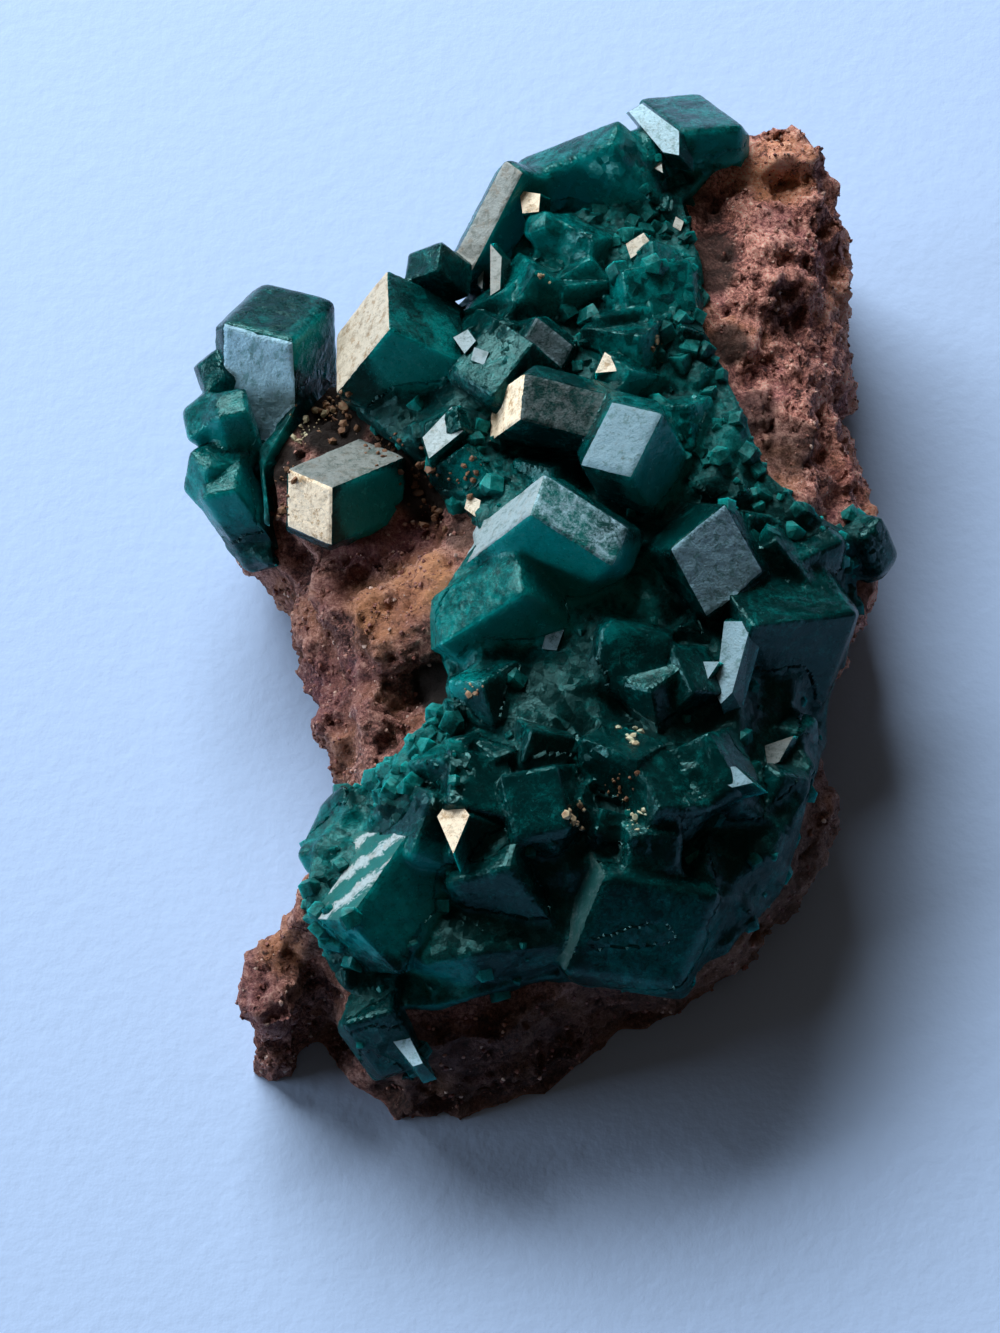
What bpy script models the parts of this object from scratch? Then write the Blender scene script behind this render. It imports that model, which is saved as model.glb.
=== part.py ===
"""A dioptase specimen: green crystals grown together over a lump of crumbly reddish matrix rock.

All sizes are in millimetres until the last step, which turns each finished piece into metres.
+Z is up, and the rock rests on a flat patch at z = 0.

What is seen best from the viewing side is laid out as it is seen from there: `across` and `up` are
millimetres on a picture plane through the middle of the specimen, and `height` is above the table.
"""

import math
import random
from collections import namedtuple

import bmesh
import bpy
import numpy as np
from mathutils import Matrix, Vector
from mathutils.bvhtree import BVHTree

METRES_PER_MM = 0.001
COLLECTION_NAME = "dioptase"
HELPER_COLLECTION_NAME = "dioptase_helpers"

# The viewing side: the eye looks down on the specimen, along +Y.
EYE_ELEVATION = math.radians(65.0)
EYE_DISTANCE = 400.0
PICTURE_CENTRE = Vector((0.0, 0.0, 10.0))

# The dioptase crystal: a six-sided prism with three rhombic tip faces at each end.
TIP_SLOPE = math.radians(51.0)
RIDGE_DROP = 0.5 * math.tan(TIP_SLOPE)
RIDGE_PER_REACH = math.hypot(1.0, RIDGE_DROP)
ROOT_DEPTH_PER_REACH = RIDGE_DROP + math.tan(TIP_SLOPE)
SMALLEST_FORESHORTENING = 0.42

# The gap between the crystals and the rock that they grow on, and between separate pieces.
GAP = 0.3

Crystal = namedtuple("Crystal", "across up height edges root")
CrustHabit = namedtuple("CrustHabit", "size shares lift lean azimuth twist")

# Each crystal is read as it shows itself: where its tip is, how high that is above the table, the
# three ridges that leave the tip (direction in degrees counterclockwise from the right, and length
# as seen), and how long the prism edges are below the ridges.
MAIN_CRYSTALS = [
    # The back row, from left to right.
    Crystal(-6.9, 20.9, 19.0, ((90, 3.7), (229, 5.2), (334, 5.0)), 2.5),
    Crystal(-3.9, 24.6, 17.5, ((80, 1.8), (200, 2.2), (320, 2.6)), 2.0),
    Crystal(1.5, 30.8, 18.5, ((146, 1.4), (243, 7.6), (342, 3.7)), 2.0),
    Crystal(6.9, 32.4, 19.5, ((70, 1.8), (203, 7.2), (310, 6.0)), 2.5),
    Crystal(11.3, 33.2, 18.0, ((8, 3.9), (146, 3.6), (268, 2.2)), 2.0),
    Crystal(9.4, 31.4, 17.5, ((95, 2.2), (205, 2.4), (325, 3.0)), 2.0),
    # The middle: two creamy blocks, the blue window face and the great rounded crystal.
    Crystal(1.2, 15.3, 20.0, ((85, 2.9), (217, 4.6), (346, 5.4)), 2.0),
    Crystal(8.1, 11.7, 20.5, ((66, 4.4), (169, 3.2), (303, 5.0)), 2.5),
    Crystal(1.8, 9.5, 22.5, ((70, 2.6), (219, 6.6), (328, 6.2)), 3.0),
    Crystal(1.6, 4.6, 19.5, ((100, 3.0), (212, 6.2), (325, 5.0)), 2.5),
    Crystal(10.5, 7.3, 19.0, ((42, 4.4), (181, 2.6), (302, 4.8)), 2.0),
    Crystal(8.1, 18.4, 18.5, ((142, 1.9), (245, 1.8), (352, 5.4)), 2.0),
    Crystal(9.6, 25.1, 18.0, ((100, 1.4), (215, 1.8), (340, 3.4)), 1.5),
    Crystal(1.1, 19.6, 18.0, ((62, 2.4), (197, 1.8), (322, 3.0)), 1.5),
    Crystal(-2.4, 14.8, 17.5, ((100, 1.4), (208, 2.4), (330, 2.2)), 1.5),
    Crystal(2.9, 27.2, 18.0, ((86, 1.2), (200, 1.4), (318, 2.2)), 1.5),
    # The right side, which falls away into the shade.
    Crystal(15.6, 2.5, 17.0, ((12, 6.6), (130, 3.5), (255, 8.4)), 3.0),
    Crystal(22.6, 8.0, 12.5, ((60, 1.8), (185, 2.8), (300, 2.8)), 2.0),
    Crystal(18.6, 6.6, 15.0, ((30, 3.2), (150, 3.2), (270, 2.6)), 2.0),
    Crystal(18.6, -4.2, 13.0, ((50, 1.6), (170, 1.6), (280, 2.2)), 1.5),
    Crystal(13.4, -7.7, 16.0, ((100, 2.6), (215, 3.6), (335, 4.4)), 2.0),
    Crystal(9.3, -1.5, 17.5, ((40, 3.2), (165, 2.6), (285, 3.8)), 2.0),
    # The front row.
    Crystal(-1.9, -9.2, 17.0, ((125, 1.8), (241, 2.9), (342, 5.6)), 2.0),
    Crystal(0.6, -12.4, 16.5, ((75, 3.4), (195, 4.2), (308, 5.2)), 2.0),
    Crystal(6.4, -12.9, 16.1, ((120, 1.6), (250, 6.4), (353, 7.2)), 2.5),
    Crystal(12.6, -12.6, 13.5, ((85, 2.4), (205, 3.0), (322, 4.2)), 2.0),
    Crystal(-9.5, -15.8, 15.0, ((52, 6.4), (172, 3.1), (311, 4.5)), 2.0),
    Crystal(-9.3, -9.0, 12.5, ((100, 1.8), (220, 2.2), (340, 2.4)), 1.5),
    Crystal(-10.6, -11.4, 12.5, ((60, 2.8), (185, 2.0), (300, 2.2)), 1.5),
    Crystal(-6.7, -21.3, 10.5, ((80, 3.4), (195, 3.1), (303, 3.9)), 2.0),
]

LEFT_CRYSTALS = [
    Crystal(-12.8, 20.1, 15.5, ((42, 3.8), (162, 4.6), (268, 7.1)), 2.0),
    Crystal(-15.6, 15.8, 14.0, ((92, 1.6), (188, 2.0), (284, 3.2)), 1.5),
    Crystal(-17.0, 18.0, 12.5, ((105, 1.8), (215, 1.6), (330, 2.2)), 1.5),
    Crystal(-17.8, 15.2, 13.0, ((95, 2.0), (213, 2.0), (332, 2.6)), 1.5),
    Crystal(-18.1, 12.2, 12.5, ((12, 3.0), (128, 1.7), (255, 2.6)), 1.5),
    Crystal(-16.4, 11.0, 12.5, ((75, 2.2), (190, 2.2), (300, 4.6)), 2.0),
]

BLOCKY_CRYSTAL = Crystal(-10.4, 11.1, 17.0, ((20, 4.9), (154, 3.0), (266, 3.6)), 2.0)
STRAY_CRYSTAL = Crystal(-5.7, -25.4, 5.0, ((80, 0.5), (200, 0.5), (320, 0.5)), 0.3)

# The foot of the rock and the levels above it, each an outline in plan with its two heights.
ROCK_LEVELS = [
    (-3.0, 3.0, [
        (12.1, 30.2), (17.2, 30.7), (18.6, 26), (19.2, 20.5), (18.1, 15.8), (19.1, 11.2),
        (19.7, 6.5), (17.7, 1.9), (17.2, -3.7), (18, -7.4), (17, -12.6), (14.5, -17.3),
        (10.7, -20), (7, -20.8),
        (5, -22.2), (2.5, -24.4), (-2.5, -26.3), (-6.5, -25.6), (-8.6, -24.4), (-9.8, -23),
        (-10.4, -20.5), (-11.6, -20.3), (-12.6, -23.4), (-14.3, -24.6), (-15.6, -22.6),
        (-14, -18.5), (-11, -15), (-8, -9.6), (-7.9, -5.6), (-8.8, -1.9), (-9.3, 2.8),
        (-10.7, 6.5), (-12.5, 10.2), (-12.1, 14.9), (-7.4, 17.2), (-2.8, 20.5), (2.8, 25.6),
    ]),
    (2.0, 8.0, [
        (14.6, 34.2), (18, 35), (20.8, 34.8), (21.9, 32), (22.5, 27), (22.6, 22), (21.6, 18.7),
        (23, 15), (23.3, 11.5), (24, 8), (22.6, 5), (20, 1), (19, -3.5), (20.2, -5.8),
        (20.8, -8), (20.4, -10), (18.6, -13.1), (16.4, -15.6), (14.8, -17.8), (11.4, -20),
        (8.6, -20.6), (6, -20), (3.5, -21.6), (0, -24), (-3.5, -24.8), (-7, -23.6), (-9.2, -22.2),
        (-10.2, -19.6), (-11.6, -19.4), (-12.8, -22.4), (-14.8, -22.8), (-16, -21.2),
        (-15.2, -19), (-13.6, -16.8), (-11.2, -14.5), (-9.8, -11.5), (-9, -8), (-10.6, -4.9),
        (-11.2, -2), (-12, 1.5), (-13.3, 4.4), (-13.9, 7.6), (-16, 9.5), (-16.6, 13),
        (-15.2, 17.5), (-10, 19.5), (-5, 22), (0, 27.5), (7, 31.5),
    ]),
    (7.0, 11.5, [
        (14.4, 35), (18, 36), (20.9, 35.6), (21.6, 31), (22, 26), (22, 21.5), (20.8, 18.2),
        (22.2, 14.5), (22.4, 10), (20.5, 5), (18, 1), (17.5, -4), (18.7, -8), (17.5, -12),
        (14, -16), (10, -18.2), (5, -18), (1, -19.8), (-4, -19.8), (-8, -18.5), (-11, -18),
        (-13, -18.4), (-12.2, -15.5), (-9.6, -11), (-8.3, -8), (-9.3, -4), (-10.3, 0),
        (-11.6, 4), (-12, 8), (-14, 10.5), (-14.5, 14), (-12.5, 17.5), (-8, 19.5), (-3, 23),
        (1, 28), (8, 32),
    ]),
    (10.5, 13.8, [
        (14, 35.4), (17.5, 36.4), (20.4, 35.8), (20.6, 31), (20.4, 26), (20.3, 21), (19.2, 17.5),
        (20.2, 13.5), (19.5, 9.5), (17, 6), (15, 2), (14.5, -2), (14.5, -8), (12, -12.5),
        (8, -14.5), (3, -15.5), (-3, -15), (-7, -12), (-6.5, -8), (-4.5, -5.5), (-1.5, -4),
        (-2, 0), (-7.5, -2), (-9.4, 1), (-8.6, 4), (-5, 5.2), (-3.6, 8), (-4.2, 12), (-8, 15.5), (-6, 18),
        (-1, 23), (3, 29), (9, 32),
    ]),
    (13.0, 14.8, [
        (12.5, 33.8), (17, 34.8), (18, 30), (17.6, 25), (17.4, 20), (16, 16), (16.5, 12),
        (12.5, 9), (9, 4), (8, -2), (6, -8), (2, -10), (-1, -8), (-0.5, -2), (-2, 2.5),
        (-5, 2.4), (-3.2, 5), (-2, 9), (-3.5, 13.5), (-1, 19), (5, 26), (9, 31),
    ]),
]
ROCK_VOXEL = 0.6
ROCK_SMOOTHING_STEPS = 12
ROCK_TRIANGLES = 3200
COARSENESS_UNDER_CRUST = 25.0

# Small crystals of the crust fill the ground between the big ones inside these outlines, in plan.
MAIN_CRUST_OUTLINE = [
    (14.5, 33.5), (11.5, 30), (12.5, 25.5), (12.8, 22.5), (12.2, 20.6), (14, 18), (15, 15),
    (16.5, 11), (18.5, 9), (22, 8.5), (22.5, 5.5), (21, -1), (20, -5), (19, -9), (17.5, -14),
    (14, -18.5), (9, -20.5), (3, -20.3), (-2, -21.8), (-6, -22.5), (-9.5, -21), (-11.8, -17),
    (-11.5, -13), (-9.5, -9.5), (-6, -7.5), (-3.5, -4.5), (-3, -2.5), (-4, 0.5), (-3, 3.5),
    (-1, 6), (-2, 9), (-4, 11), (-6, 13), (-9, 16.5), (-8.5, 20.5), (-4, 25), (0.5, 31),
    (6, 33.5), (11, 34.5),
]
LEFT_CRUST_OUTLINE = [
    (-17.3, 22), (-13.2, 24), (-11, 23), (-12.6, 17.5), (-14.8, 13), (-14.2, 8), (-16.1, 8.5),
    (-19, 12.3), (-19, 15.2), (-17.8, 19.1),
]
# Where a large crystal shows a clean face, no small one stands: across, up and radius as seen.
CLEAN_FACES = [
    (16.5, -1.0, 4.2), (-6.3, -16.3, 4.2), (0.0, -13.4, 5.0), (11.2, 12.5, 3.4), (4.6, 2.2, 5.0),
    (12.2, -13.6, 4.6), (8.0, -17.5, 5.0), (5.5, 31.2, 3.6), (-1.8, 16.6, 2.6), (-0.5, 4.2, 4.2),
    (-9.5, -12.6, 3.4), (12.9, 6.3, 3.4), (-3.0, 17.5, 2.6),
]
CRUST_BED = 0.7
CRUST_BED_LEVELS = (6.0, 30.0)
CRUST_SPACING = 2.8
CRUST_REACH = (1.5, 3.6)
CRUST_LIFT = (0.75, 1.05)
CRUST_TILT = math.radians(34.0)
CRUST_STEEPEST = 0.45
CRUST_CLEARANCE = 0.3
CRUST_ROOT = 1.0
CRUST_SEED = 3


def clear_scene():
    """Remove every object, so that the script can be run again."""
    for old_object in list(bpy.data.objects):
        bpy.data.objects.remove(old_object, do_unlink=True)


def make_collection(name, helper=False):
    collection = bpy.data.collections.new(name)
    bpy.context.scene.collection.children.link(collection)
    collection.hide_render = helper
    return collection


def make_object(name, mesh, collection):
    made = bpy.data.objects.new(name, mesh)
    collection.objects.link(made)
    return made


def make_helper(name, mesh):
    """A cutter or a guide: it shapes a piece and is never a piece itself."""
    made = make_object(name, mesh, bpy.data.collections[HELPER_COLLECTION_NAME])
    made.hide_render = True
    made.display_type = "WIRE"
    return made


def evaluated_mesh(source):
    """The mesh of an object with all its modifiers carried out."""
    graph = bpy.context.evaluated_depsgraph_get()
    return bpy.data.meshes.new_from_object(source.evaluated_get(graph))


# The viewing side.
def toward_the_eye():
    return Vector((0.0, -math.cos(EYE_ELEVATION), math.sin(EYE_ELEVATION)))


def eye_point():
    return PICTURE_CENTRE + toward_the_eye() * EYE_DISTANCE


def on_sight_line(across, up, height):
    """The point at this height that the eye sees at (across, up) on the picture plane."""
    picture_up = Vector((0.0, math.sin(EYE_ELEVATION), math.cos(EYE_ELEVATION)))
    seen = PICTURE_CENTRE + Vector((across, 0.0, 0.0)) + picture_up * up
    line = seen - eye_point()
    return eye_point() + line * ((height - eye_point().z) / line.z)


def seen_at(point):
    """Where the eye sees a point, as (across, up) on the picture plane."""
    from_eye = point - eye_point()
    across = Vector((1.0, 0.0, 0.0))
    up = toward_the_eye().cross(across)
    enlarged = EYE_DISTANCE / -from_eye.dot(toward_the_eye())
    return from_eye.dot(across) * enlarged, from_eye.dot(up) * enlarged


def on_clean_face(point):
    across, up = seen_at(point)
    return any(math.hypot(across - x, up - y) < radius for x, y, radius in CLEAN_FACES)


def sight_axes(point):
    """Right, up and toward the eye, as seen from the eye at this point."""
    toward = (eye_point() - point).normalized()
    right = Vector((0.0, 0.0, 1.0)).cross(toward).normalized()
    return Matrix((right, toward.cross(right), toward)).transposed()


# Crystals.
def ridge_directions():
    """The three ridges that leave a crystal's tip, in the crystal's own axes."""
    ridges = []
    for number in range(3):
        angle = math.radians(120.0 * number)
        ridges.append(Vector((math.cos(angle), math.sin(angle), -RIDGE_DROP)).normalized())
    return ridges


def clock_errors(turn, clocks):
    """How far each ridge, as seen, is from the direction it should have, in radians."""
    errors = []
    for ridge, clock in zip(ridge_directions(), clocks):
        seen = turn @ ridge
        error = math.atan2(seen.y, seen.x) - math.radians(clock)
        errors.append((error + math.pi) % (2.0 * math.pi) - math.pi)
    return np.array(errors)


def turn_to_match(clocks):
    """Turn a crystal until its three tip ridges, as seen, run in the given directions."""
    turn = Matrix.Rotation(math.radians(clocks[0]), 3, "Z")
    step = 1e-4
    for _ in range(40):
        errors = clock_errors(turn, clocks)
        slopes = np.empty((3, 3))
        for axis in range(3):
            nudge = Vector([step if axis == other else 0.0 for other in range(3)])
            nudged = small_turn(nudge) @ turn
            slopes[:, axis] = (clock_errors(nudged, clocks) - errors) / step
        change = np.linalg.lstsq(slopes, -errors, rcond=0.05)[0]
        turn = small_turn(Vector(change * min(1.0, 0.3 / max(1e-9, np.abs(change).max())))) @ turn
    return turn


def small_turn(amounts):
    """A rotation about the axis `amounts`, by its length in radians."""
    if amounts.length < 1e-12:
        return Matrix.Identity(3)
    return Matrix.Rotation(amounts.length, 3, amounts.normalized())


def crystal_planes(reaches, root):
    """The twelve faces of a dioptase crystal with its tip at the origin, as (direction, distance).

    `reaches` are the distances from the axis to the three prism edges where the ridges end, and
    `root` is the length of each of those edges.
    """
    flat, steep = math.sin(TIP_SLOPE), math.cos(TIP_SLOPE)
    planes = []
    for number, reach in enumerate(reaches):
        ridge = math.radians(120.0 * number)
        between = ridge + math.radians(60.0)
        planes.append((Vector((flat * math.cos(between), flat * math.sin(between), steep)), 0.0))
        lower = Vector((flat * math.cos(ridge), flat * math.sin(ridge), -steep))
        planes.append((lower, (ROOT_DEPTH_PER_REACH * reach + root) * steep))
        for side in (-30.0, 30.0):
            angle = ridge + math.radians(side)
            distance = reach * math.cos(math.radians(30.0))
            planes.append((Vector((math.cos(angle), math.sin(angle), 0.0)), distance))
    return planes


def cut_from_block(planes, size):
    """A closed solid: what is left of a block after everything outside each plane is cut away."""
    solid = bmesh.new()
    bmesh.ops.create_cube(solid, size=size)
    for direction, distance in planes:
        parts = solid.verts[:] + solid.edges[:] + solid.faces[:]
        cut = bmesh.ops.bisect_plane(
            solid, geom=parts, dist=1e-5, plane_co=direction * distance, plane_no=direction,
            clear_outer=True,
        )
        edges = [part for part in cut["geom_cut"] if isinstance(part, bmesh.types.BMEdge)]
        bmesh.ops.contextual_create(solid, geom=edges)
    bmesh.ops.remove_doubles(solid, verts=solid.verts[:], dist=1e-4)
    bmesh.ops.recalc_face_normals(solid, faces=solid.faces[:])
    return solid


class PlacedCrystal:
    """A crystal's faces in place: `turn` carries its own axes into the specimen's."""

    def __init__(self, tip, turn, reaches, root):
        self.tip = tip
        self.turn = turn
        self.reaches = reaches
        self.root = root

    def planes(self):
        return crystal_planes(self.reaches, self.root)

    def holds(self, point, margin=0.0):
        local = self.turn.transposed() @ (point - self.tip)
        return all(direction.dot(local) < distance - margin for direction, distance in self.planes())

    def mesh(self, name, growth=0.0):
        grown = [(direction, distance + growth) for direction, distance in self.planes()]
        solid = cut_from_block(grown, 8.0 * max(self.reaches) + 4.0 * self.root)
        matrix = self.turn.to_4x4()
        matrix.translation = self.tip
        bmesh.ops.transform(solid, matrix=matrix, verts=solid.verts[:])
        mesh = bpy.data.meshes.new(name)
        solid.to_mesh(mesh)
        solid.free()
        return mesh


def place_seen_crystal(crystal):
    """Place a crystal from the way its tip and ridges are seen."""
    tip = on_sight_line(crystal.across, crystal.up, crystal.height)
    seen_turn = turn_to_match([clock for clock, _ in crystal.edges])
    reaches = []
    for ridge, (_, length) in zip(ridge_directions(), crystal.edges):
        seen = seen_turn @ ridge
        shortening = max(SMALLEST_FORESHORTENING, math.hypot(seen.x, seen.y))
        reaches.append(length / shortening / RIDGE_PER_REACH)
    return PlacedCrystal(tip, sight_axes(tip) @ seen_turn, reaches, crystal.root)


# The rock.
def outline_solid(points, low, high):
    """A flat outline made as thick as one level of the rock."""
    curve = bpy.data.curves.new("rock_level", "CURVE")
    curve.dimensions = "2D"
    curve.fill_mode = "BOTH"
    curve.extrude = (high - low) / 2.0
    spline = curve.splines.new("POLY")
    spline.points.add(len(points) - 1)
    for point, (x, y) in zip(spline.points, points):
        point.co = (x, y, 0.0, 1.0)
    spline.use_cyclic_u = True
    guide = make_helper("rock_level", curve)
    bpy.context.view_layer.update()
    mesh = evaluated_mesh(guide)
    bpy.data.objects.remove(guide)
    mesh.transform(Matrix.Translation((0.0, 0.0, (low + high) / 2.0)))
    return mesh


def relief(name, kind, size, strength, piece):
    """A Displace modifier that raises and lowers the surface by a noise of this grain size."""
    texture = bpy.data.textures.new(name, kind)
    texture.noise_scale = size
    modifier = piece.modifiers.new(name, "DISPLACE")
    modifier.texture = texture
    modifier.strength = strength
    modifier.mid_level = 0.5
    return texture


def rock_form():
    """The matrix in full detail, as a mesh: stacked levels melted together and roughened."""
    stack = bmesh.new()
    for low, high, points in ROCK_LEVELS:
        level = outline_solid(points, low, high)
        stack.from_mesh(level)
        bpy.data.meshes.remove(level)
    bmesh.ops.remove_doubles(stack, verts=stack.verts[:], dist=1e-3)
    mesh = bpy.data.meshes.new("rock_form")
    stack.to_mesh(mesh)
    stack.free()
    rock = make_helper("rock_form", mesh)
    remesh = rock.modifiers.new("melt", "REMESH")
    remesh.mode = "VOXEL"
    remesh.voxel_size = ROCK_VOXEL
    smooth = rock.modifiers.new("weather", "SMOOTH")
    smooth.factor = 0.5
    smooth.iterations = ROCK_SMOOTHING_STEPS
    relief("lumps", "CLOUDS", 5.0, 2.0, rock)
    relief("rubble", "CLOUDS", 1.9, 1.5, rock)
    bpy.context.view_layer.update()
    form = evaluated_mesh(rock)
    bpy.data.objects.remove(rock)
    return form


def faceted_rock(form):
    """The rock in few facets, larger under the crust, and cut flat where it rests."""
    rock = make_helper("rock", form)
    coarse = rock.vertex_groups.new(name="coarse_under_the_crust")
    coarse.add(range(len(form.vertices)), 0.2, "REPLACE")
    covered = [
        vertex.index for vertex in form.vertices
        if vertex.co.z > CRUST_BED_LEVELS[0] + 1.0 and any(
            inside_outline(vertex.co.x, vertex.co.y, outline)
            for outline in (MAIN_CRUST_OUTLINE, LEFT_CRUST_OUTLINE))
    ]
    coarse.add(covered, 1.0, "REPLACE")
    facets = rock.modifiers.new("facets", "DECIMATE")
    facets.ratio = ROCK_TRIANGLES / sum(len(face.vertices) - 2 for face in form.polygons)
    facets.vertex_group = coarse.name
    facets.vertex_group_factor = COARSENESS_UNDER_CRUST
    bpy.context.view_layer.update()
    faceted = evaluated_mesh(rock)
    bpy.data.objects.remove(rock)
    return cut_flat(faceted)


def cut_flat(mesh):
    """Cut a mesh flat at the table and close the cut."""
    solid = bmesh.new()
    solid.from_mesh(mesh)
    cut = bmesh.ops.bisect_plane(
        solid, geom=solid.verts[:] + solid.edges[:] + solid.faces[:], dist=1e-3,
        plane_co=(0.0, 0.0, 0.0), plane_no=(0.0, 0.0, -1.0), clear_outer=True,
    )
    edges = [part for part in cut["geom_cut"] if isinstance(part, bmesh.types.BMEdge)]
    bmesh.ops.holes_fill(solid, edges=edges, sides=0)
    keep_largest_body(solid)
    bmesh.ops.triangulate(solid, faces=solid.faces[:])
    bmesh.ops.recalc_face_normals(solid, faces=solid.faces[:])
    made = bpy.data.meshes.new("matrix_rock")
    solid.to_mesh(made)
    solid.free()
    return made


def keep_largest_body(solid):
    """Remove every loose body but the one with the most faces."""
    unseen = set(solid.faces)
    bodies = []
    while unseen:
        body = {unseen.pop()}
        edge_of_body = list(body)
        while edge_of_body:
            face = edge_of_body.pop()
            for edge in face.edges:
                for neighbour in edge.link_faces:
                    if neighbour in unseen:
                        unseen.remove(neighbour)
                        body.add(neighbour)
                        edge_of_body.append(neighbour)
        bodies.append(body)
    bodies.sort(key=len)
    for body in bodies[:-1]:
        bmesh.ops.delete(solid, geom=list(body), context="FACES")
    return len(bodies) - 1


def swollen_copy(mesh, amount):
    """A copy of a closed mesh with its surface moved outwards."""
    swollen = mesh.copy()
    normals = [vertex.normal.copy() for vertex in swollen.vertices]
    for vertex, normal in zip(swollen.vertices, normals):
        vertex.co += normal * amount
    return swollen


def surface_of(mesh):
    """The surface of a mesh, ready to be hit by lines."""
    solid = bmesh.new()
    solid.from_mesh(mesh)
    surface = BVHTree.FromBMesh(solid)
    solid.free()
    return surface


# The crust.
def inside_outline(x, y, outline):
    inside = False
    for (x1, y1), (x2, y2) in zip(outline, outline[1:] + outline[:1]):
        if (y1 > y) != (y2 > y) and x < x1 + (y - y1) * (x2 - x1) / (y2 - y1):
            inside = not inside
    return inside


def room_inside(x, y, size, outline):
    """Whether a crystal of this size fits inside an outline."""
    corners = [math.radians(60.0 * corner) for corner in range(6)]
    return all(
        inside_outline(x + size * math.cos(angle), y + size * math.sin(angle), outline)
        for angle in corners)


def crust_bed(outline, rock_mesh, growth=0.0):
    """The thin green crust that joins the crystals, spread over the rock inside an outline."""
    low, high = CRUST_BED_LEVELS
    bed = make_helper("crust_bed", swollen_copy(rock_mesh, GAP + CRUST_BED + growth))
    limit = make_helper("crust_limit", outline_solid(outline, low, high))
    within = bed.modifiers.new("within_outline", "BOOLEAN")
    within.operation = "INTERSECT"
    within.object = limit
    bpy.context.view_layer.update()
    spread = evaluated_mesh(bed)
    bpy.data.objects.remove(bed)
    bpy.data.objects.remove(limit)
    return spread


def crust_crystals(outline, rock_mesh, big_ones, draw):
    """Small crystals on the rock between the big ones, on a loose triangular grid."""
    rows_apart = CRUST_SPACING * math.sqrt(3.0) / 2.0
    surface = surface_of(rock_mesh)
    made = []
    for row in range(-20, 21):
        for column in range(-20, 21):
            x = (column + 0.5 * (row % 2)) * CRUST_SPACING + draw.uniform(-0.8, 0.8)
            y = row * rows_apart + draw.uniform(-0.8, 0.8)
            habit = CrustHabit(
                draw.uniform(*CRUST_REACH), [draw.uniform(0.85, 1.15) for _ in range(3)],
                draw.uniform(*CRUST_LIFT), draw.uniform(0.0, CRUST_TILT),
                draw.uniform(0.0, 2.0 * math.pi), draw.uniform(0.0, 2.0 * math.pi))
            ground, normal, _, _ = surface.ray_cast(Vector((x, y, 60.0)), Vector((0.0, 0.0, -1.0)))
            if ground is None or normal.z < CRUST_STEEPEST:
                continue
            for share in (1.0, 0.65, 0.4):
                size = habit.size * share
                crystal = crust_crystal(ground, normal, size, habit)
                crowded = any(
                    big.holds(crystal.tip, margin=-CRUST_CLEARANCE * size) for big in big_ones)
                if room_inside(x, y, size, outline) and not crowded and not on_clean_face(crystal.tip):
                    made.append(crystal)
                    break
    return made


def crust_crystal(ground, normal, size, habit):
    """One small crystal that stands on the crust, leaning between straight up and the ground's way."""
    axis = (normal + Vector((0.0, 0.0, 1.0))).normalized()
    tip = ground + axis * (CRUST_BED + size * habit.lift)
    stand = Vector((0.0, 0.0, 1.0)).rotation_difference(axis).to_matrix()
    across = Vector((math.cos(habit.azimuth), math.sin(habit.azimuth), 0.0))
    turn = stand @ Matrix.Rotation(habit.lean, 3, across) @ Matrix.Rotation(habit.twist, 3, "Z")
    return PlacedCrystal(tip, turn, [size * share for share in habit.shares], CRUST_ROOT)


def join_crystals(name, meshes, cutters):
    """Grow crystals together into one solid, and cut it clear of its neighbours."""
    helpers = bpy.data.collections.new(name + "_crystals")
    bpy.data.collections[HELPER_COLLECTION_NAME].children.link(helpers)
    for number, mesh in enumerate(meshes[1:]):
        one = make_object(f"{name}_{number}", mesh, helpers)
        one.hide_render = True
        one.display_type = "WIRE"
    first = make_helper(name + "_first", meshes[0])
    if len(meshes) > 1:
        grow = first.modifiers.new("grow_together", "BOOLEAN")
        grow.operation = "UNION"
        grow.operand_type = "COLLECTION"
        grow.collection = helpers
    for cutter in cutters:
        cut = first.modifiers.new("cut_clear", "BOOLEAN")
        cut.operation = "DIFFERENCE"
        cut.object = cutter
    bpy.context.view_layer.update()
    joined = evaluated_mesh(first)
    for helper in list(helpers.objects) + [first]:
        bpy.data.objects.remove(helper)
    bpy.data.collections.remove(helpers)
    return joined


def tidy_solid(mesh, name):
    """One closed body of triangles, with no slivers and no loose crumbs."""
    solid = bmesh.new()
    solid.from_mesh(mesh)
    bmesh.ops.remove_doubles(solid, verts=solid.verts[:], dist=0.004)
    bmesh.ops.dissolve_degenerate(solid, edges=solid.edges[:], dist=0.004)
    crumbs = keep_largest_body(solid)
    bmesh.ops.triangulate(solid, faces=solid.faces[:])
    tidy = bpy.data.meshes.new(name)
    solid.to_mesh(tidy)
    print(name, "triangles", len(solid.faces), "crumbs left out", crumbs)
    solid.free()
    return tidy


# Finish.
def make_material(name, colour, roughness):
    material = bpy.data.materials.new(name)
    material.use_nodes = True
    shader = material.node_tree.nodes["Principled BSDF"]
    shader.inputs["Base Color"].default_value = (*colour, 1.0)
    shader.inputs["Roughness"].default_value = roughness
    shader.inputs["Metallic"].default_value = 0.0
    material.diffuse_color = (*colour, 1.0)
    return material


def finish_piece(name, mesh, material, collection, offset):
    """Centre a finished piece, turn it into metres and give it its material."""
    mesh.name = name
    mesh.transform(Matrix.Scale(METRES_PER_MM, 4) @ Matrix.Translation(offset))
    mesh.materials.clear()
    mesh.materials.append(material)
    return make_object(name, mesh, collection)


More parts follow.
